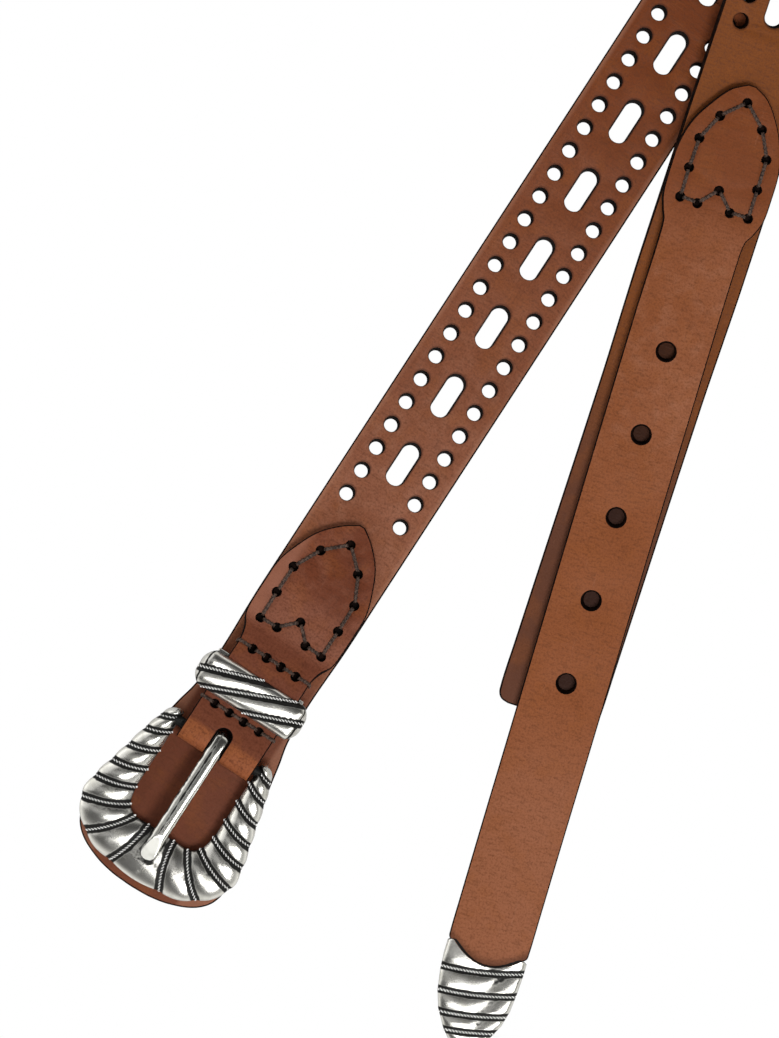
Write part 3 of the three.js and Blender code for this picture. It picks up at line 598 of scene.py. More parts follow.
def leather(rows, holes, bends, thickness, place, ease, taper=0.11):
    """Leather cut flat from rows of (along, low edge, high edge) with its slightly leaning, tapering
    holes, eased at every rim, and bent into place. Holes are (along, across, radius, straight
    half-length, sides)."""
    edge = curve_through([(u, low + ease) for u, low, _ in rows], OUTLINE_STEPS)
    edge += curve_through([(u, high - ease) for u, _, high in rows], OUTLINE_STEPS)[::-1]
    bm = bmesh.new()
    outward = bm.verts.layers.float_vector.new("outward")
    punched = bm.verts.layers.int.new("punched")
    corners = [bm.verts.new((*point, 0)) for point in edge]
    for i, corner in enumerate(corners):
        following = corners[(i + 1) % len(corners)]
        run = (following.co - corners[i - 1].co).normalized()
        corner[outward] = Vector((run.y, -run.x, 0))
        bm.edges.new((corner, following))
    for u, v, radius, straight, sides in holes:
        half_step = Matrix.Rotation(math.pi / sides, 4, "Z")
        ring = bmesh.ops.create_circle(bm, segments=sides, radius=radius, matrix=half_step)["verts"]
        for vert in ring:
            vert[outward] = -vert.co.normalized()
            vert[punched] = 1
            vert.co += Vector((u + math.copysign(straight, vert.co.x), v, 0))
    bmesh.ops.triangle_fill(bm, use_beauty=True, edges=bm.edges[:], normal=(0, 0, 1))
    for u in bends:
        score(bm, (u, 0, 0), (1, 0, 0), MERGE)
    raised = bmesh.ops.extrude_face_region(bm, geom=bm.faces[:])["geom"]
    upper = [item for item in raised if isinstance(item, bmesh.types.BMVert)]
    half = thickness / 2
    bmesh.ops.translate(bm, verts=bm.verts[:], vec=(0, 0, -half))
    bmesh.ops.translate(bm, verts=upper, vec=(0, 0, thickness))
    for depth in (*RIM_DEPTHS, half, thickness - BACK_RIM_DEPTH):
        score(bm, (0, 0, half - depth), (0, 0, 1), SNAP)
    bm.normal_update()
    walls = [face for face in bm.faces if abs(face.normal.z) < 0.5]
    for face in walls:
        face.material_index = 1
    plan = bm.loops.layers.uv.new("plan")
    for face in bm.faces:
        for loop in face.loops:
            loop[plan].uv = loop.vert.co.xy * MM
    for vert in {vert for face in walls for vert in face.verts}:
        depth = half - vert.co.z
        swell = ease * min(quarter(depth / ease), BACK_EASE + quarter((thickness - depth) / ease))
        if vert[punched]:
            swell = HOLE_RIM * quarter(depth / HOLE_RIM) + taper * depth
            vert.co += PUNCH_LEAN * vert.co.z
        vert.co += vert[outward] * swell
    for vert in bm.verts:
        vert.co = place(*vert.co)
    return bm


def shell(along, around, place):
    """A closed metal form: a grid that place(share along, share around) wraps up. It gives each
    point and its tarnish."""
    bm = bmesh.new()
    tarnish_and_shade = bm.verts.layers.float.new("tarnish_and_shade")
    bmesh.ops.create_grid(bm, x_segments=along, y_segments=around, size=0.5)
    for vert in bm.verts:
        vert.co, vert[tarnish_and_shade] = place(vert.co.x + 0.5, vert.co.y + 0.5)
    bmesh.ops.remove_doubles(bm, verts=bm.verts[:], dist=MERGE)
    close_ends(bm)
    return bm


WIRE_SIDES = 8
DARK_STRAND, BRIGHT_STRAND = 1.4, -0.4


def twisted_wire(length, radius, flatness, turn_length, step):
    """A straight twisted wire along x, spun from one flattened ring."""
    wire = bmesh.new()
    ring = bmesh.ops.create_circle(
        wire, segments=WIRE_SIDES, radius=radius, matrix=Matrix.Rotation(math.pi / 2, 4, "Y"))["verts"]
    bmesh.ops.scale(wire, vec=(1, flatness, 1), verts=ring)
    steps = max(2, round(length / step))
    bmesh.ops.spin(
        wire, geom=wire.verts[:] + wire.edges[:], cent=(0, 0, 0), axis=(1, 0, 0),
        dvec=(length / steps, 0, 0), angle=math.tau * length / turn_length, steps=steps)
    close_ends(wire)
    return wire


def add_to(bm, part):
    """Pours one worked form into another."""
    mould = bpy.data.meshes.new("mould")
    part.to_mesh(mould)
    part.free()
    bm.from_mesh(mould)
    bpy.data.meshes.remove(mould)


def lay_rope(bm, line, lift, radius, flatness, turn_length, step, finish=0, press=1):
    """Lays a twisted wire on a line of (point, outward direction) and presses it flatter. Its
    strands are bright on their crests and dark elsewhere."""
    reach = running_lengths([point for point, _ in line])
    low = radius * flatness
    wire = twisted_wire(reach[-1], radius, flatness, turn_length, step)
    tarnish_and_shade = wire.verts.layers.float.new("tarnish_and_shade")
    for vert in wire.verts:
        x, y, z = vert.co
        after, share = find(reach, x)
        (a, up_a), (b, up_b) = line[after - 1], line[after]
        up = up_a.lerp(up_b, share).normalized()
        side = up.cross(b - a).normalized()
        vert.co = a.lerp(b, share) + side * y + up * (z * press + lift)
        crest = smooth((math.hypot(y, z) - low) / (radius - low), 0, 0.4)
        bright = crest * (1 - smooth(abs(y) / radius, 0.5, 0.9))
        vert[tarnish_and_shade] = lerp(DARK_STRAND, BRIGHT_STRAND, bright)
    for face in wire.faces:
        face.material_index = finish
    add_to(bm, wire)


# Main strap: a tongue behind the buckle, 24 slots, 73 pairs of round holes and a plain tail.
PAIRS, PAIR_RADIUS, PAIR_SIDES = range(-2, 71), 2.42, 20
SLOTS, SLOT_RADIUS, SLOT_SIDES = range(24), 3.1, 28
STRAP_EASE, SMALL_EASE = 0.45, 0.35
STRAP_ROWS = [
    (u, -half, half) for u, half in (
        (-0.35, 1.5), (0, 7), (1.3, 13), (4.3, 19.6), (8.5, 23.4), (14.5, 24.5), (25.5, 23.3),
        (34.5, 21.5), (45.5, 19), (52.5, 17.7), (59.5, 16.2), (71.5, 15.4), (91.5, 15.9), (110, 15.9),
        (780, 15.9), (796.4, 15.7), (817.4, 15.4), (900, 15.4), (914.4, 15.3), (916.6, 14.4),
        (STRAP_LENGTH, 12.2),
    )
]


def main_strap():
    holes = [
        (FIRST_SLOT + PAIR_STEP * k, side * PAIR_OFFSET, PAIR_RADIUS, 0, PAIR_SIDES)
        for k in PAIRS for side in (-1, 1)
    ]
    holes += [(FIRST_SLOT + SLOT_STEP * k, 0, SLOT_RADIUS, SLOT_STRAIGHT, SLOT_SIDES) for k in SLOTS]
    flats, turn = [20 + 30 * i for i in range(9)], [300 + 3.4 * i for i in range(140)]
    bm = leather(STRAP_ROWS, holes, flats + turn, STRAP_THICKNESS, on_strap, STRAP_EASE)
    hand_over(bm, "perforated_strap", "belt", [STRAP_LEATHER, EDGE_PAINT], ["main_strap"])


# Chape: the small spade strap that folds round the buckle's bar.
CHAPE_ROWS = [
    (along_chape(y), -half, half) for y, half in (
        (-22, 1.2), (-25, 5.4), (-30, 10), (-36, 13), (-43, 15.3), (-50, 15.6), (-58, 15.5),
        (-61.5, 15), (-64.5, 13.4), (-68, 12.4), (-73, 12.3), (-88, 12.4),
    )
] + [(CHAPE_REACH[-1], -12.3, 12.3)]
SPADE_HOLES = [
    (0, -28), (6.5, -34), (10.6, -42.3), (10.7, -51.2), (10.6, -60.2), (5, -60), (0, -55), (-5, -60),
    (-10.6, -60.2), (-10.7, -51.2), (-10.6, -42.3), (-6.5, -34),
]
ROW_ONE = [(x, -69.3) for x in (-7.5, -2.6, 2.4, 7.5)]
ROW_TWO = [(x, -88.5) for x in (-8, -3, 2, 7.3)]
STITCH_RADIUS, STITCH_SIDES = 1.55, 14
PRONG_SLOT_RADIUS, PRONG_SLOT_SIDES = 2.8, 20
PRONG_SLOT_START = along_chape(-92.7)
PRONG_SLOT_END = CHAPE_REACH[-1] - 20.6
FIRST_BEND = along_chape(-60)


def chape_spots(holes):
    return [(along_chape(y), x - CHAPE_X) for x, y in holes]


CHAPE_SPOTS = chape_spots(SPADE_HOLES + ROW_ONE + ROW_TWO)


def stitch_holes(spots):
    return [(*spot, STITCH_RADIUS, 0, STITCH_SIDES) for spot in spots]


def chape():
    holes = stitch_holes(CHAPE_SPOTS)
    middle, half = (PRONG_SLOT_START + PRONG_SLOT_END) / 2, (PRONG_SLOT_END - PRONG_SLOT_START) / 2
    straight = half - PRONG_SLOT_RADIUS
    holes.append((middle, BAR.x - CHAPE_X, PRONG_SLOT_RADIUS, straight, PRONG_SLOT_SIDES))
    bends = [reach for reach in CHAPE_REACH if reach > FIRST_BEND]
    bm = leather(CHAPE_ROWS, holes, bends, SMALL_THICKNESS, on_chape, SMALL_EASE)
    hand_over(bm, "folded_chape", "belt", [CHAPE_LEATHER, EDGE_PAINT], ["chape"])


# Billet: the strap with the buckle's holes, sewn on top of the tail.
BILLET_ROWS = [
    (-132, -0.3, 2.7), (-129.3, -4.8, 7.2), (-123, -9.7, 11.9), (-117, -13, 14.7), (-110, -14.7, 16.5),
    (-102, -14.9, 16.7), (-95, -14.6, 16.3), (-90.5, -13.3, 14.6), (-87.5, -12.2, 13), (-80, -11.9, 12.6),
    (-60, -12, 12.6), (0, -12, 12.5), (61, -11.8, 12.6), (120, -11.5, 12.8), (131, -11.4, 12.8),
    (132, -11.1, 12.5), (132.8, -10, 11.4), (134, -9.5, 10.9), (144, -8.4, 9.8), (152, -6.2, 7.6),
]
BILLET_SPOTS = [
    (-127.2, 1.3), (-121, 7.8), (-113, 11.7), (-103.8, 11.7), (-95, 11.6), (-95, 6), (-100.3, 1),
    (-95, -4), (-95.4, -9.4), (-104.3, -9.5), (-113.3, -9.2), (-121.3, -5.3),
]
BUCKLE_HOLE_RADIUS, BUCKLE_HOLE_SIDES, BUCKLE_HOLE_TAPER = 3.15, 28, 0.3


def billet():
    holes = stitch_holes(BILLET_SPOTS)
    holes += [
        (BUCKLE_HOLE_STEP * k, BUCKLE_HOLE_OFFSET, BUCKLE_HOLE_RADIUS, 0, BUCKLE_HOLE_SIDES)
        for k in range(-2, 3)
    ]
    roll, sag = [-130 + 6 * i for i in range(16)], [60 + 3 * i for i in range(16)]
    bm = leather(
        BILLET_ROWS, holes, roll + sag, SMALL_THICKNESS, on_billet, SMALL_EASE, BUCKLE_HOLE_TAPER)
    hand_over(bm, "holed_billet", "belt", [BILLET_LEATHER, EDGE_PAINT], ["billet_strap"])


# Stitches of flat waxed thread from hole to hole. A rise is how far from the hole's middle the
# thread is and how high, and a wrap is the same past the strap's edge.
THREAD_LOOK = {"radius": 0.6, "flatness": 0.78, "turn_length": 2.6, "step": 0.28, "press": 0.6}
STITCH_RISE = ((0.7, -1.2), (0.85, -0.4), (1.35, 0.12))
STITCH_WRAP = ((-0.8, 0.2), (-0.15, -0.05), (0.2, -0.6), (0.25, -2))
STITCH_CROWN = 0.22
PLUG_DEPTH, PLUG_THICKNESS, PLUG_RADIUS = 1.6, 0.4, 1.2
SURFACE = SMALL_THICKNESS / 2


def stitch(bm, place, start, end, wraps=False):
    """One stitch from hole to hole. With wraps its far end goes over the strap's edge."""
    a, b = Vector(start), Vector(end)
    run = (b - a).normalized()
    path = [(a + run * far, height) for far, height in STITCH_RISE] + [(a.lerp(b, 0.5), STITCH_CROWN)]
    if wraps:
        path += [(b + run * far, height) for far, height in STITCH_WRAP]
    else:
        path += [(b - run * far, height) for far, height in STITCH_RISE[::-1]]
    line = curve_through([place(*point, SURFACE + height) for point, height in path], 4)
    up = (place(*a, SURFACE + 1) - place(*a, SURFACE)).normalized()
    outs = [up] * len(line)
    if wraps:
        away = (place(*b, SURFACE) - place(*(b - run), SURFACE)).normalized()
        outs = [up.lerp(away, smooth(i / len(line), 0.6, 0.9)) for i in range(len(line))]
    lay_rope(bm, list(zip(line, outs)), 0, **THREAD_LOOK)


def rod(bm, radius, length, sides, placed):
    return bmesh.ops.create_cone(
        bm, cap_ends=True, segments=sides, radius1=radius, radius2=radius, depth=length,
        matrix=placed)["verts"]


def plug(bm, place, spot):
    """A dark disc down a stitch hole: partly the waxed thread in it, partly painted shade deep in the
    hole.
    """
    top = place(*spot, SURFACE - PLUG_DEPTH)
    foot = place(*spot, SURFACE - PLUG_DEPTH - PLUG_THICKNESS)
    turned = (top - foot).to_track_quat("Z", "Y").to_matrix().to_4x4()
    before = set(bm.faces)
    rod(bm, PLUG_RADIUS, PLUG_THICKNESS, 12, Matrix.Translation((top + foot) / 2) @ turned)
    # The disc takes the dark edge paint: painted shade in the hole.
    for face in set(bm.faces) - before:
        face.material_index = 1


def seam(bm, place, spots):
    """Stitches from spot to spot and back to the first."""
    for start, end in zip(spots, spots[1:] + spots[:1]):
        stitch(bm, place, start, end)


def chape_stitches():
    bm = bmesh.new()
    for spot in CHAPE_SPOTS:
        plug(bm, on_chape, spot)
    seam(bm, on_chape, chape_spots(SPADE_HOLES))
    for row, edge in ((ROW_ONE, 12.35), (ROW_TWO, 12.4)):
        spots = chape_spots(row)
        for start, end in zip(spots, spots[1:]):
            stitch(bm, on_chape, start, end)
        for spot, side in ((spots[0], -1), (spots[-1], 1)):
            stitch(bm, on_chape, spot, (spot[0], side * edge), wraps=True)
    hand_over(bm, "chape_stitches", "belt", [THREAD, EDGE_PAINT], crease=60)


def billet_stitches():
    bm = bmesh.new()
    for spot in BILLET_SPOTS:
        plug(bm, on_billet, spot)
    seam(bm, on_billet, BILLET_SPOTS)
    hand_over(bm, "billet_stitches", "belt", [THREAD, EDGE_PAINT], crease=60)


# Buckle frame: sixteen twisted ropes between seventeen domed lobes. A rope line's first point lies
# on the frame's inner edge, and its second on the outer one. The outermost two are bare ends.
ROPE_LINES = [
    (13.6, -95, 16.7, -95.3), (13.6, -97.3, 18.7, -99.8), (13.6, -102.5, 20.4, -105.3),
    (13.6, -109, 22, -112), (13.6, -115.6, 23.6, -118.4), (13.5, -121.7, 25.2, -124.9),
    (12.2, -126.8, 25.4, -132.2), (9.2, -129, 19, -140), (4.4, -129, 8.6, -143.6),
]
LINES = ROPE_LINES + [(-a, b, -c, d) for a, b, c, d in reversed(ROPE_LINES)]
LOBES = len(LINES) - 1
SEAT = LOBES // 2
LOBE_STEPS = 18
INNER_EDGE = curve_through([(a, b, 0) for a, b, _, _ in LINES], LOBE_STEPS)
OUTER_EDGE = curve_through([(c, d, 0) for _, _, c, d in LINES], LOBE_STEPS)
UNDERSIDE = ((-144.5, 3.4), (-98.5, 5.2))
GROOVE, CREST, SEAT_DIP = 3.55, 4.75, 0.35
LOBE_BULGE, LOBE_BOW = 0.75, 0.22
CLOSED_SHARE, CLOSED_HEIGHT = 0.5, 0.45
SEAT_HALF_WIDTH, SEAT_START, SEAT_RADIUS = 0.6, -137.2, 1.8
FRONT = 0.84
BAR_RADIUS, BAR_LENGTH = 1.6, 30.2


def frame_edge(line, place):
    """A point of the frame's inner or outer edge, counted in lobes."""
    step = min(max(place, 0), LOBES) * LOBE_STEPS
    low = min(int(step), len(line) - 2)
    return line[low].lerp(line[low + 1], step - low)


def frame_point(place, share, height):
    """A point of the frame: lobes along, share from the inner to the outer edge, height of crest.
    The lobe under the prong's head is lower, and both ends close to a dome."""
    closing = quarter(min(place, LOBES - place) / 0.5)
    share, height = lerp(CLOSED_SHARE, share, closing), lerp(CLOSED_HEIGHT, height, closing)
    inner, outer = frame_edge(INNER_EDGE, place), frame_edge(OUTER_EDGE, place)
    lobe = place - math.floor(place)
    bulge = LOBE_BULGE * math.sin(math.pi * lobe) ** 0.7
    run = outer - inner
    sideways = Vector((run.y, -run.x, 0)) * (1 if place < LOBES / 2 else -1)
    point = inner.lerp(outer, share) + run.normalized() * bulge * smooth(share, 0.4, 1)
    point += sideways * LOBE_BOW * share * (1 - share)
    from_rope = min(lobe, 1 - lobe) * 2
    crest = CREST - (SEAT_DIP if SEAT <= place <= SEAT + 1 else 0)
    rounded = (1 - (1 - from_rope) ** 2.2) ** 0.7
    thick = lerp(GROOVE, crest, rounded) * height
    under = read_off(UNDERSIDE, point.y)
    return Vector((BAR.x + point.x, point.y, under + thick))


def frame_section(turn):
    """Share across and height of the frame's section, from inner foot over the top to outer foot."""
    if turn < 0.1:
        return 0, turn * 5
    if turn > 0.9:
        return 1, (1 - turn) * 5
    share = (1 - math.cos(math.pi * (turn - 0.1) / 0.8)) / 2
    return share, 0.5 + 0.5 * (1 - (2 * share - 1) ** 2) ** 0.75


def frame_surface(along, around):
    """A point of the frame and its darkening: oxide beside the ropes, on the inner wall and in a smear
    across each lobe, and round the prong's head a seat that is partly oxide and partly painted shade."""
    place = along * LOBES
    if around > FRONT:
        return frame_point(place, 1 - (around - FRONT) / (1 - FRONT), 0), 0.35
    turn = around / FRONT
    share, height = frame_section(turn)
    rope = math.floor(place)
    lobe = place - rope
    before, after = (
        frame_edge(INNER_EDGE, at).lerp(frame_edge(OUTER_EDGE, at), share) for at in (rope, rope + 1))
    width = (after - before).length
    from_rope = (1 - lobe if place < 1 else lobe if place > LOBES - 1 else min(lobe, 1 - lobe)) * width
    groove = 0.45 * (1 - smooth(from_rope, 1.1, 2.7)) + 0.85 * (1 - smooth(from_rope, 0.9, 1.4))
    inside = (1 - smooth(turn, 0.1, 0.32)) * 0.75
    above = lobe if place < LOBES / 2 else 1 - lobe
    smear = 0.68 * math.exp(-((share - 0.6 + 0.2 * above) / 0.15) ** 2) * (1 - 0.7 * above)
    point = frame_point(place, share, height)
    # Round the prong's head: partly oxide in the seat, partly painted shade cast by the head.
    beside, past = abs(point.x - BAR.x) - SEAT_HALF_WIDTH, SEAT_START - point.y
    from_prong = math.hypot(max(beside, 0), max(past, 0)) - SEAT_RADIUS
    seat_oxide_and_shade = 0.72 * (1 - smooth(from_prong, 0.2, 1.1)) if SEAT <= place <= SEAT + 1 else 0
    return point, max(groove, inside, smear, seat_oxide_and_shade)


def frame_rope_line(index):
    line = []
    for turn in spread(0.05, 0.95, 25):
        share, height = frame_section(turn)
        point = frame_point(index, share, height)
        ahead, back = (frame_point(index, *frame_section(turn + by)) for by in (0.02, -0.02))
        level = frame_point(index + 0.01, share, height) - point
        level.z = 0
        out = (ahead - back).cross(level).normalized()
        line.append((point, out if out.z > -0.2 else -out))
    return line


ROPE_LOOK = {"radius": 0.5, "flatness": 0.46, "turn_length": 1.9, "step": 0.12, "finish": 1}


def buckle_frame():
    """The frame with its ropes, and the bar between its ends."""
    bm = shell(LOBES * LOBE_STEPS, 44, frame_surface)
    for index in range(1, LOBES):
        lay_rope(bm, frame_rope_line(index), 0.12, **ROPE_LOOK)
    sides = Matrix.Translation(BAR) @ Matrix.Rotation(math.pi / 2, 4, "Y")
    # The bar is tarnished black all over: painted shade for the dark gap between the frame and the chape.
    for vert in rod(bm, BAR_RADIUS, BAR_LENGTH, 24, sides):
        vert[bm.verts.layers.float["tarnish_and_shade"]] = 1
    hand_over(bm, "gadrooned_frame", "buckle", ROPED, ["buckle_frame"], 50)


# Prong: a squarish loop round the bar and a tongue that lies on the front of the frame. The loop
# turns clear of the strap.
LOOP_LENGTH, LOOP_HEIGHT = 3.3, 2.45
PRONG_WAY = [
    (0, BAR.y + LOOP_LENGTH * ahead, BAR.z + LOOP_HEIGHT * up)
    for ahead, up in (squarish(math.radians(a), 0.8, 0.8) for a in range(-200, 80, 20))
] + [
    (0, -100, 9.95), (0, -103.5, 9.95), (0, -112, 10.15), (0, -122, 10.05),
    (0, -130, 9.9), (0, -135, 9.8), (0, -137.7, 9.6),
]
FACET_LENGTH, PRONG_ROUNDING = 8.5, 2.2
REFLECTION_STREAK_PLACE, REFLECTION_STREAK_WIDTH = -0.22, 0.2


def prong_surface(line):
    """The prong's points and darkening along a line: a filed facet slopes to the head, and painted dark
    reflections run as a streak left of the middle and along the left flank."""
    lengths = running_lengths(line)

    def place(along, around):
        reach = along * lengths[-1]
        after, share = find(lengths, reach)
        middle = line[after - 1].lerp(line[after], share)
        run = (line[after] - line[after - 1]).normalized()
        out = Vector((0, run.z, -run.y))
        left_to_end = lengths[-1] - reach
        tip = quarter(left_to_end / PRONG_ROUNDING)
        half_width = lerp(2.6, 2.3, smooth(reach, 8.5, 20.5)) + 0.15 * smooth(-left_to_end, -8, -3)
        half_width *= lerp(0.2, 1, tip)
        thick = lerp(0.9, 1.25, smooth(reach, 8.5, 16.5)) * lerp(0.5, 1, tip)
        wide, high = squarish(math.tau * around, 0.85, 0.9)
        facet = 1.25 - 0.88 * max(1 - left_to_end / FACET_LENGTH, 0)
        above = high * thick - facet
        point = middle + Vector((BAR.x + wide * half_width, 0, 0)) + out * min(high * thick, facet)
        rim = 0.55 * math.exp(-(above / 0.07) ** 2) * smooth(-left_to_end, -FACET_LENGTH, -6)
        foot = 0.25 * (1 - smooth(reach, 9.5, 13.5)) + 0.5 * smooth(-high, 0.5, 1)
        # The dark left flank and the streak are painted dark reflections on the polished rod.
        flank_reflection = 0.7 * smooth(-wide, 0.6, 0.95)
        reflection_streak = math.exp(-((wide - REFLECTION_STREAK_PLACE) / REFLECTION_STREAK_WIDTH) ** 2) * smooth(high, 0.2, 0.6)
        reflection_streak *= smooth(left_to_end, 4, 9) * lerp(0.6, 0.9, smooth(reach, 12, 17))
        return point, max(foot, flank_reflection, reflection_streak, rim) - 1.2 * smooth(above, 0.05, 0.15)

    return place


def prong():
    bm = shell(150, 56, prong_surface(curve_through(PRONG_WAY, 4)))
    hand_over(bm, "buckle_tongue", "tongue", [POLISHED_SILVER], ["prong"], 50)


# Keeper: a ribbed band bent into a ring, with slanted ropes over its front. A rope is its place up
# the strap at x = 0 and its slant.
KEEPER_ROPES = ((-75.5, 0.34), (-80.25, 0.41), (-86.1, 0.39))
KEEPER_LEFT, KEEPER_RIGHT = -18.3, 17
KEEPER_MIDDLE_Y, KEEPER_HALF_WIDTH = -80.75, 5.65
KEEPER_LOW, KEEPER_HIGH = 3.75, 10.55
KEEPER_CORNER, KEEPER_BEND = 2.4, 2.9
KEEPER_RIM, KEEPER_CROWN, KEEPER_RIB, KEEPER_INSIDE = -0.6, 1.15, 0.85, -0.85
KEEPER_BACK = Matrix.Translation((-1.1, -80.2, 3.75)) @ Matrix.Diagonal((29.4, 12, 0.9, 1))
BAND = 0.6


def keeper_loop(turn):
    """A point and outward direction of the ring's middle line, seen from its end."""
    left, right = KEEPER_LEFT + 1, KEEPER_RIGHT - 1
    middle = Vector(((left + right) / 2, (KEEPER_LOW + KEEPER_HIGH) / 2))
    half = Vector(((right - left) / 2, (KEEPER_HIGH - KEEPER_LOW) / 2))
    straight = half - Vector((KEEPER_CORNER, KEEPER_CORNER))
    bend = math.pi * KEEPER_CORNER / 2
    stretches = [2 * straight.x, bend, 2 * straight.y, bend] * 2
    reach = (turn % 1) * sum(stretches)
    for i, stretch in enumerate(stretches):
        if reach <= stretch or i == len(stretches) - 1:
            break
        reach -= stretch
    heading = -math.pi / 2 * (i // 2)
    run = Vector((math.cos(heading), math.sin(heading)))
    out = Vector((-run.y, run.x))
    corner = Vector(((1, 1), (1, -1), (-1, -1), (-1, 1))[i // 2])
    centre = middle + corner * straight
    if i % 2:
        angle = reach / KEEPER_CORNER
        turned = out * math.cos(angle) + run * math.sin(angle)
        return centre + turned * KEEPER_CORNER, turned
    return centre + out * KEEPER_CORNER - run * (stretches[i] - reach), out


def from_keeper_end(x):
    return min(x - KEEPER_LEFT, KEEPER_RIGHT - x)


def rounded_off(radius, x):
    """How far a corner of some radius at either end of the keeper cuts in."""
    return radius - math.sqrt(max(radius ** 2 - max(radius - from_keeper_end(x), 0) ** 2, 0))


def keeper_half_width(x):
    return KEEPER_HALF_WIDTH - rounded_off(KEEPER_CORNER, x)


def keeper_dome(share):
    return (1 - abs(share) ** 5) ** 0.65


def keeper_band(x, y):
    """Height of the ribs, which fall away slowly to the rope below, and darkness of the grooves."""
    gaps = [y - rope - slant * x for rope, slant in KEEPER_ROPES]
    up = min([gap for gap in gaps if gap > 0], default=9)
    down = min([-gap for gap in gaps if gap <= 0], default=9)
    rib = min(1 - (1 - min(down / 1.7, 1)) ** 2, 0.4 * min(up / 0.5, 1) + 0.6 * min(up / 2.7, 1))
    return rib, 1.3 * max(1 - smooth(up, 0.8, 1.2), 1 - smooth(down, 1, 2.1))


def keeper_surface(along, around):
    """A point of the keeper and its tarnish. Its outside is domed and its inside flat."""
    point, out = keeper_loop(along)
    x = point.x + out.x
    half = keeper_half_width(x)
    if around < BAND:
        share = -math.cos(math.pi * around / BAND)
        dome = keeper_dome(share)
        on_front = smooth(out.y, -0.2, 0.6)
        rib, groove = keeper_band(x, KEEPER_MIDDLE_Y + half * share)
        thick = lerp(KEEPER_RIM, KEEPER_CROWN, dome) - KEEPER_RIB * (1 - rib) * on_front
        roll = 1.1 * math.exp(-((from_keeper_end(x) - 1.5) / 0.35) ** 2)
        tarnish_and_shade = max(groove * on_front, roll * on_front, 0.6 * (1 - smooth(dome, 0.2, 0.6)))
    else:
        share = lerp(1, -1, (around - BAND) / (1 - BAND))
        thick, tarnish_and_shade = KEEPER_INSIDE, 0.6
    y = KEEPER_MIDDLE_Y + half * share
    return Vector((point.x + out.x * thick, y, point.y + out.y * thick)), tarnish_and_shade


def keeper_rope_line(rope, slant):
    line = []
    for x in spread(KEEPER_LEFT + 0.4, KEEPER_RIGHT - 0.4, 61):
        y = rope + slant * x
        share = (y - KEEPER_MIDDLE_Y) / keeper_half_width(x)
        if abs(share) > 0.985:
            continue
        crown = lerp(KEEPER_RIM, KEEPER_CROWN, keeper_dome(share))
        z = KEEPER_HIGH + crown - KEEPER_RIB - rounded_off(KEEPER_BEND, x)
        lean = smooth(KEEPER_BEND - from_keeper_end(x), 0, KEEPER_BEND)
        out = Vector((math.copysign(lean, x + 1), share * 0.8, 1)).normalized()
        line.append((Vector((x, y, z)), out))
    return line


def keeper():
    """The ring with its ropes, and the plain plate that closes its back."""
    bm = shell(160, 44, keeper_surface)
    for rope in KEEPER_ROPES:
        lay_rope(bm, keeper_rope_line(*rope), 0.3, **ROPE_LOOK)
    plate = bmesh.ops.create_cube(bm, size=1, matrix=KEEPER_BACK)["verts"]
    edges = {edge for vert in plate for edge in vert.link_edges}
    bmesh.ops.bevel(
        bm, geom=list(edges), offset=0.3, segments=2, profile=0.5, affect="EDGES", material=-1)
    hand_over(bm, "ribbed_keeper", "belt", ROPED, ["keeper"], 50)


# Tip cap: a cast sheath with a scooped mouth and four slanted ropes. Places along it fall from 0 at
# the billet's middle hole. Its edges are (along, left, right), and a rope is its middle's place.
TIP_EDGES = (
    (-163.1, 1.0, 1.8), (-162.6, -0.8, 3.6), (-161.5, -2.4, 5.4), (-158, -5.3, 8.4), (-153, -8.3, 11),
    (-148, -10, 12.3), (-142, -11, 12.8), (-137, -11.4, 13), (-132, -11.4, 13),
)
TIP_LEFT, TIP_RIGHT = ([(row[0], row[side]) for row in TIP_EDGES] for side in (1, 2))
TIP_END = TIP_EDGES[0][0]
TIP_ROPES = (-139.5, -146.4, -152.7, -157.7)
TIP_HALF_THICK, TIP_WALL = 2, 0.75
MOUTH, LIP = 0.25, 0.12


def tip_mouth(share):
    """The scooped mouth's place along the billet, from its left edge at -1 to its right at 1."""
    in_arc, on_shoulder = min(abs(share) / 0.86, 1), max(abs(share) - 0.86, 0) / 0.14
    return -137.2 + 4.7 * in_arc ** 2 - 0.7 * on_shoulder ** 2 + 0.3 * (1 if share < 0 else -1) * in_arc


def tip_slant(t):
    """How much higher a rope lies at some place right of the middle."""
    return 0.17 * t + 0.006 * t * t


def tip_across(s, wide, wall=0):
    """The place right of the middle, from the left edge at -1 to the right at 1."""
    left, right = read_off(TIP_LEFT, s) + wall, read_off(TIP_RIGHT, s) - wall
    return lerp(left, right, (wide + 1) / 2)


def tip_half_thick(s):
    return TIP_HALF_THICK * (1 - 0.72 * smooth(-s, 158, 163.4))


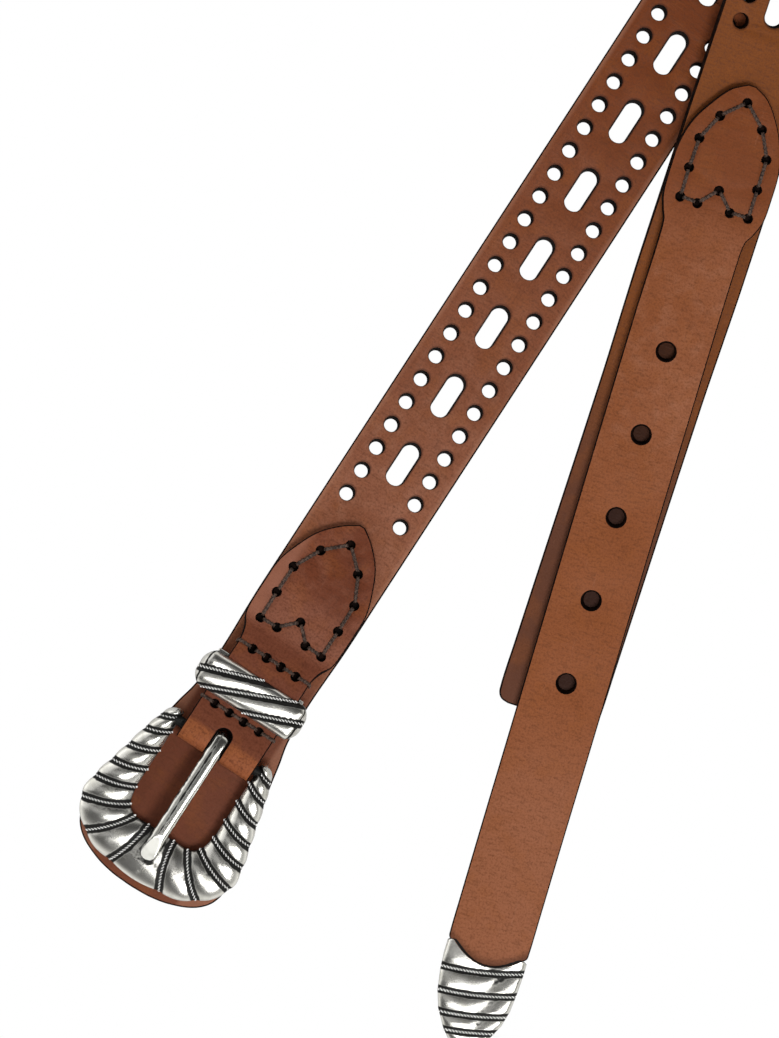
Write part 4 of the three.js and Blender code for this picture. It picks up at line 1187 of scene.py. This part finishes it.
def tip_surface(along, around):
    """A point of the cap and its darkening, from deep in its mouth over the lip and on to its end. The
    inside of the mouth is black: painted shade for the gap round the leather.
    """
    wide, high = squarish(math.tau * around, 0.7, 0.62)
    # Inside the mouth: painted shade, tarnished black.
    if along < MOUTH:
        deep = 1 - along / MOUTH
        inwards = smooth(deep, 0, LIP)
        s = lerp(tip_mouth(wide) + 0.32 * inwards, TIP_END, max(deep - LIP, 0) * 0.5)
        t = tip_across(s, wide, TIP_WALL * inwards * 1.6)
        return on_tip(-s, t, TIP_MIDDLE + high * (tip_half_thick(s) - TIP_WALL * inwards)), 1.2
    s = lerp(tip_mouth(wide), TIP_END, ((along - MOUTH) / (1 - MOUTH)) ** 0.9)
    t = tip_across(s, wide)
    level = s - tip_slant(t)
    up = level - max([rope for rope in TIP_ROPES if rope < level], default=-166)
    down = min([rope for rope in TIP_ROPES if rope >= level], default=0) - level
    nearest = min(up, down)
    beyond = wide - 0.1 - 0.08 * up
    leaning = lerp(nearest, min(0.6 * down, 1.8 * up), smooth(beyond, 0.05, 0.3))
    rib = math.sin(math.pi * min(leaning / 3.1, 1) / 2) ** 0.8
    dent = math.exp(-(beyond / 0.2) ** 2)
    bulge = (0.55 * rib - 0.2 - 0.35 * dent * rib) * smooth(high, -0.1, 0.5)
    band = 1.3 * (1 - smooth(nearest, 0.85, 1.5))
    tarnish_and_shade = max(max(band, 0.62 * dent) * smooth(high, -0.2, 0.2), 0.5 * smooth(-high, 0.1, 0.6))
    return on_tip(-s, t, TIP_MIDDLE + high * (tip_half_thick(s) + bulge)), tarnish_and_shade


def tip_rope_line(rope):
    line = []
    for wide in spread(-0.965, 0.965, 61):
        s = rope
        for _ in range(4):
            t = tip_across(s, wide)
            s = rope + tip_slant(t)
        share = min(abs(wide) ** (1 / 0.7), 1)
        high = (1 - share ** 2) ** 0.31
        sideways = on_tip(-s, t + 1, 0) - on_tip(-s, t, 0)
        out = (Vector((0, 0, high)) + sideways * math.copysign(share ** 3, wide)).normalized()
        line.append((on_tip(-s, t, TIP_MIDDLE + high * (tip_half_thick(s) - 0.15)), out))
    return line


def tip_cap():
    bm = shell(190, 72, tip_surface)
    for rope in TIP_ROPES:
        lay_rope(bm, tip_rope_line(rope), 0.15, **ROPE_LOOK)
    hand_over(bm, "cast_tip_cap", "belt", ROPED, ["tip_cap"], 50)


# The pale table, which is plain white to the camera as the photograph's ground is.
TABLE_SIZE, TABLE_LEVEL = 3, -0.0001


def table_top():
    finish = Finish("pale_table")
    cloudy = finish.clouds(finish.place(), 3, 1)
    tone = finish.mix(cloudy, (0.8, 0.8, 0.8, 1), (0.82, 0.82, 0.82, 1))
    matt = finish.node("BsdfDiffuse", {}, {"Color": tone})
    glow = finish.node("Emission", {}, {"Color": (1, 1, 1, 1), "Strength": 1.0})
    seen = finish.node("LightPath", {}, {}, out="Is Camera Ray")
    lit = finish.node("MixShader", {}, {0: seen, 1: matt, 2: glow})
    finish.node("OutputMaterial", {}, {"Surface": lit})
    bm = bmesh.new()
    level = Matrix.Translation((0, 0, TABLE_LEVEL))
    bmesh.ops.create_grid(bm, x_segments=4, y_segments=4, size=TABLE_SIZE, matrix=level)
    mesh = bpy.data.meshes.new("table_top")
    bm.to_mesh(mesh)
    bm.free()
    mesh.materials.append(finish.material)
    table = set_in_scene("table_top", mesh)


for make in (
    main_strap, chape, billet, chape_stitches, billet_stitches,
    buckle_frame, prong, keeper, tip_cap, table_top,
):
    make()
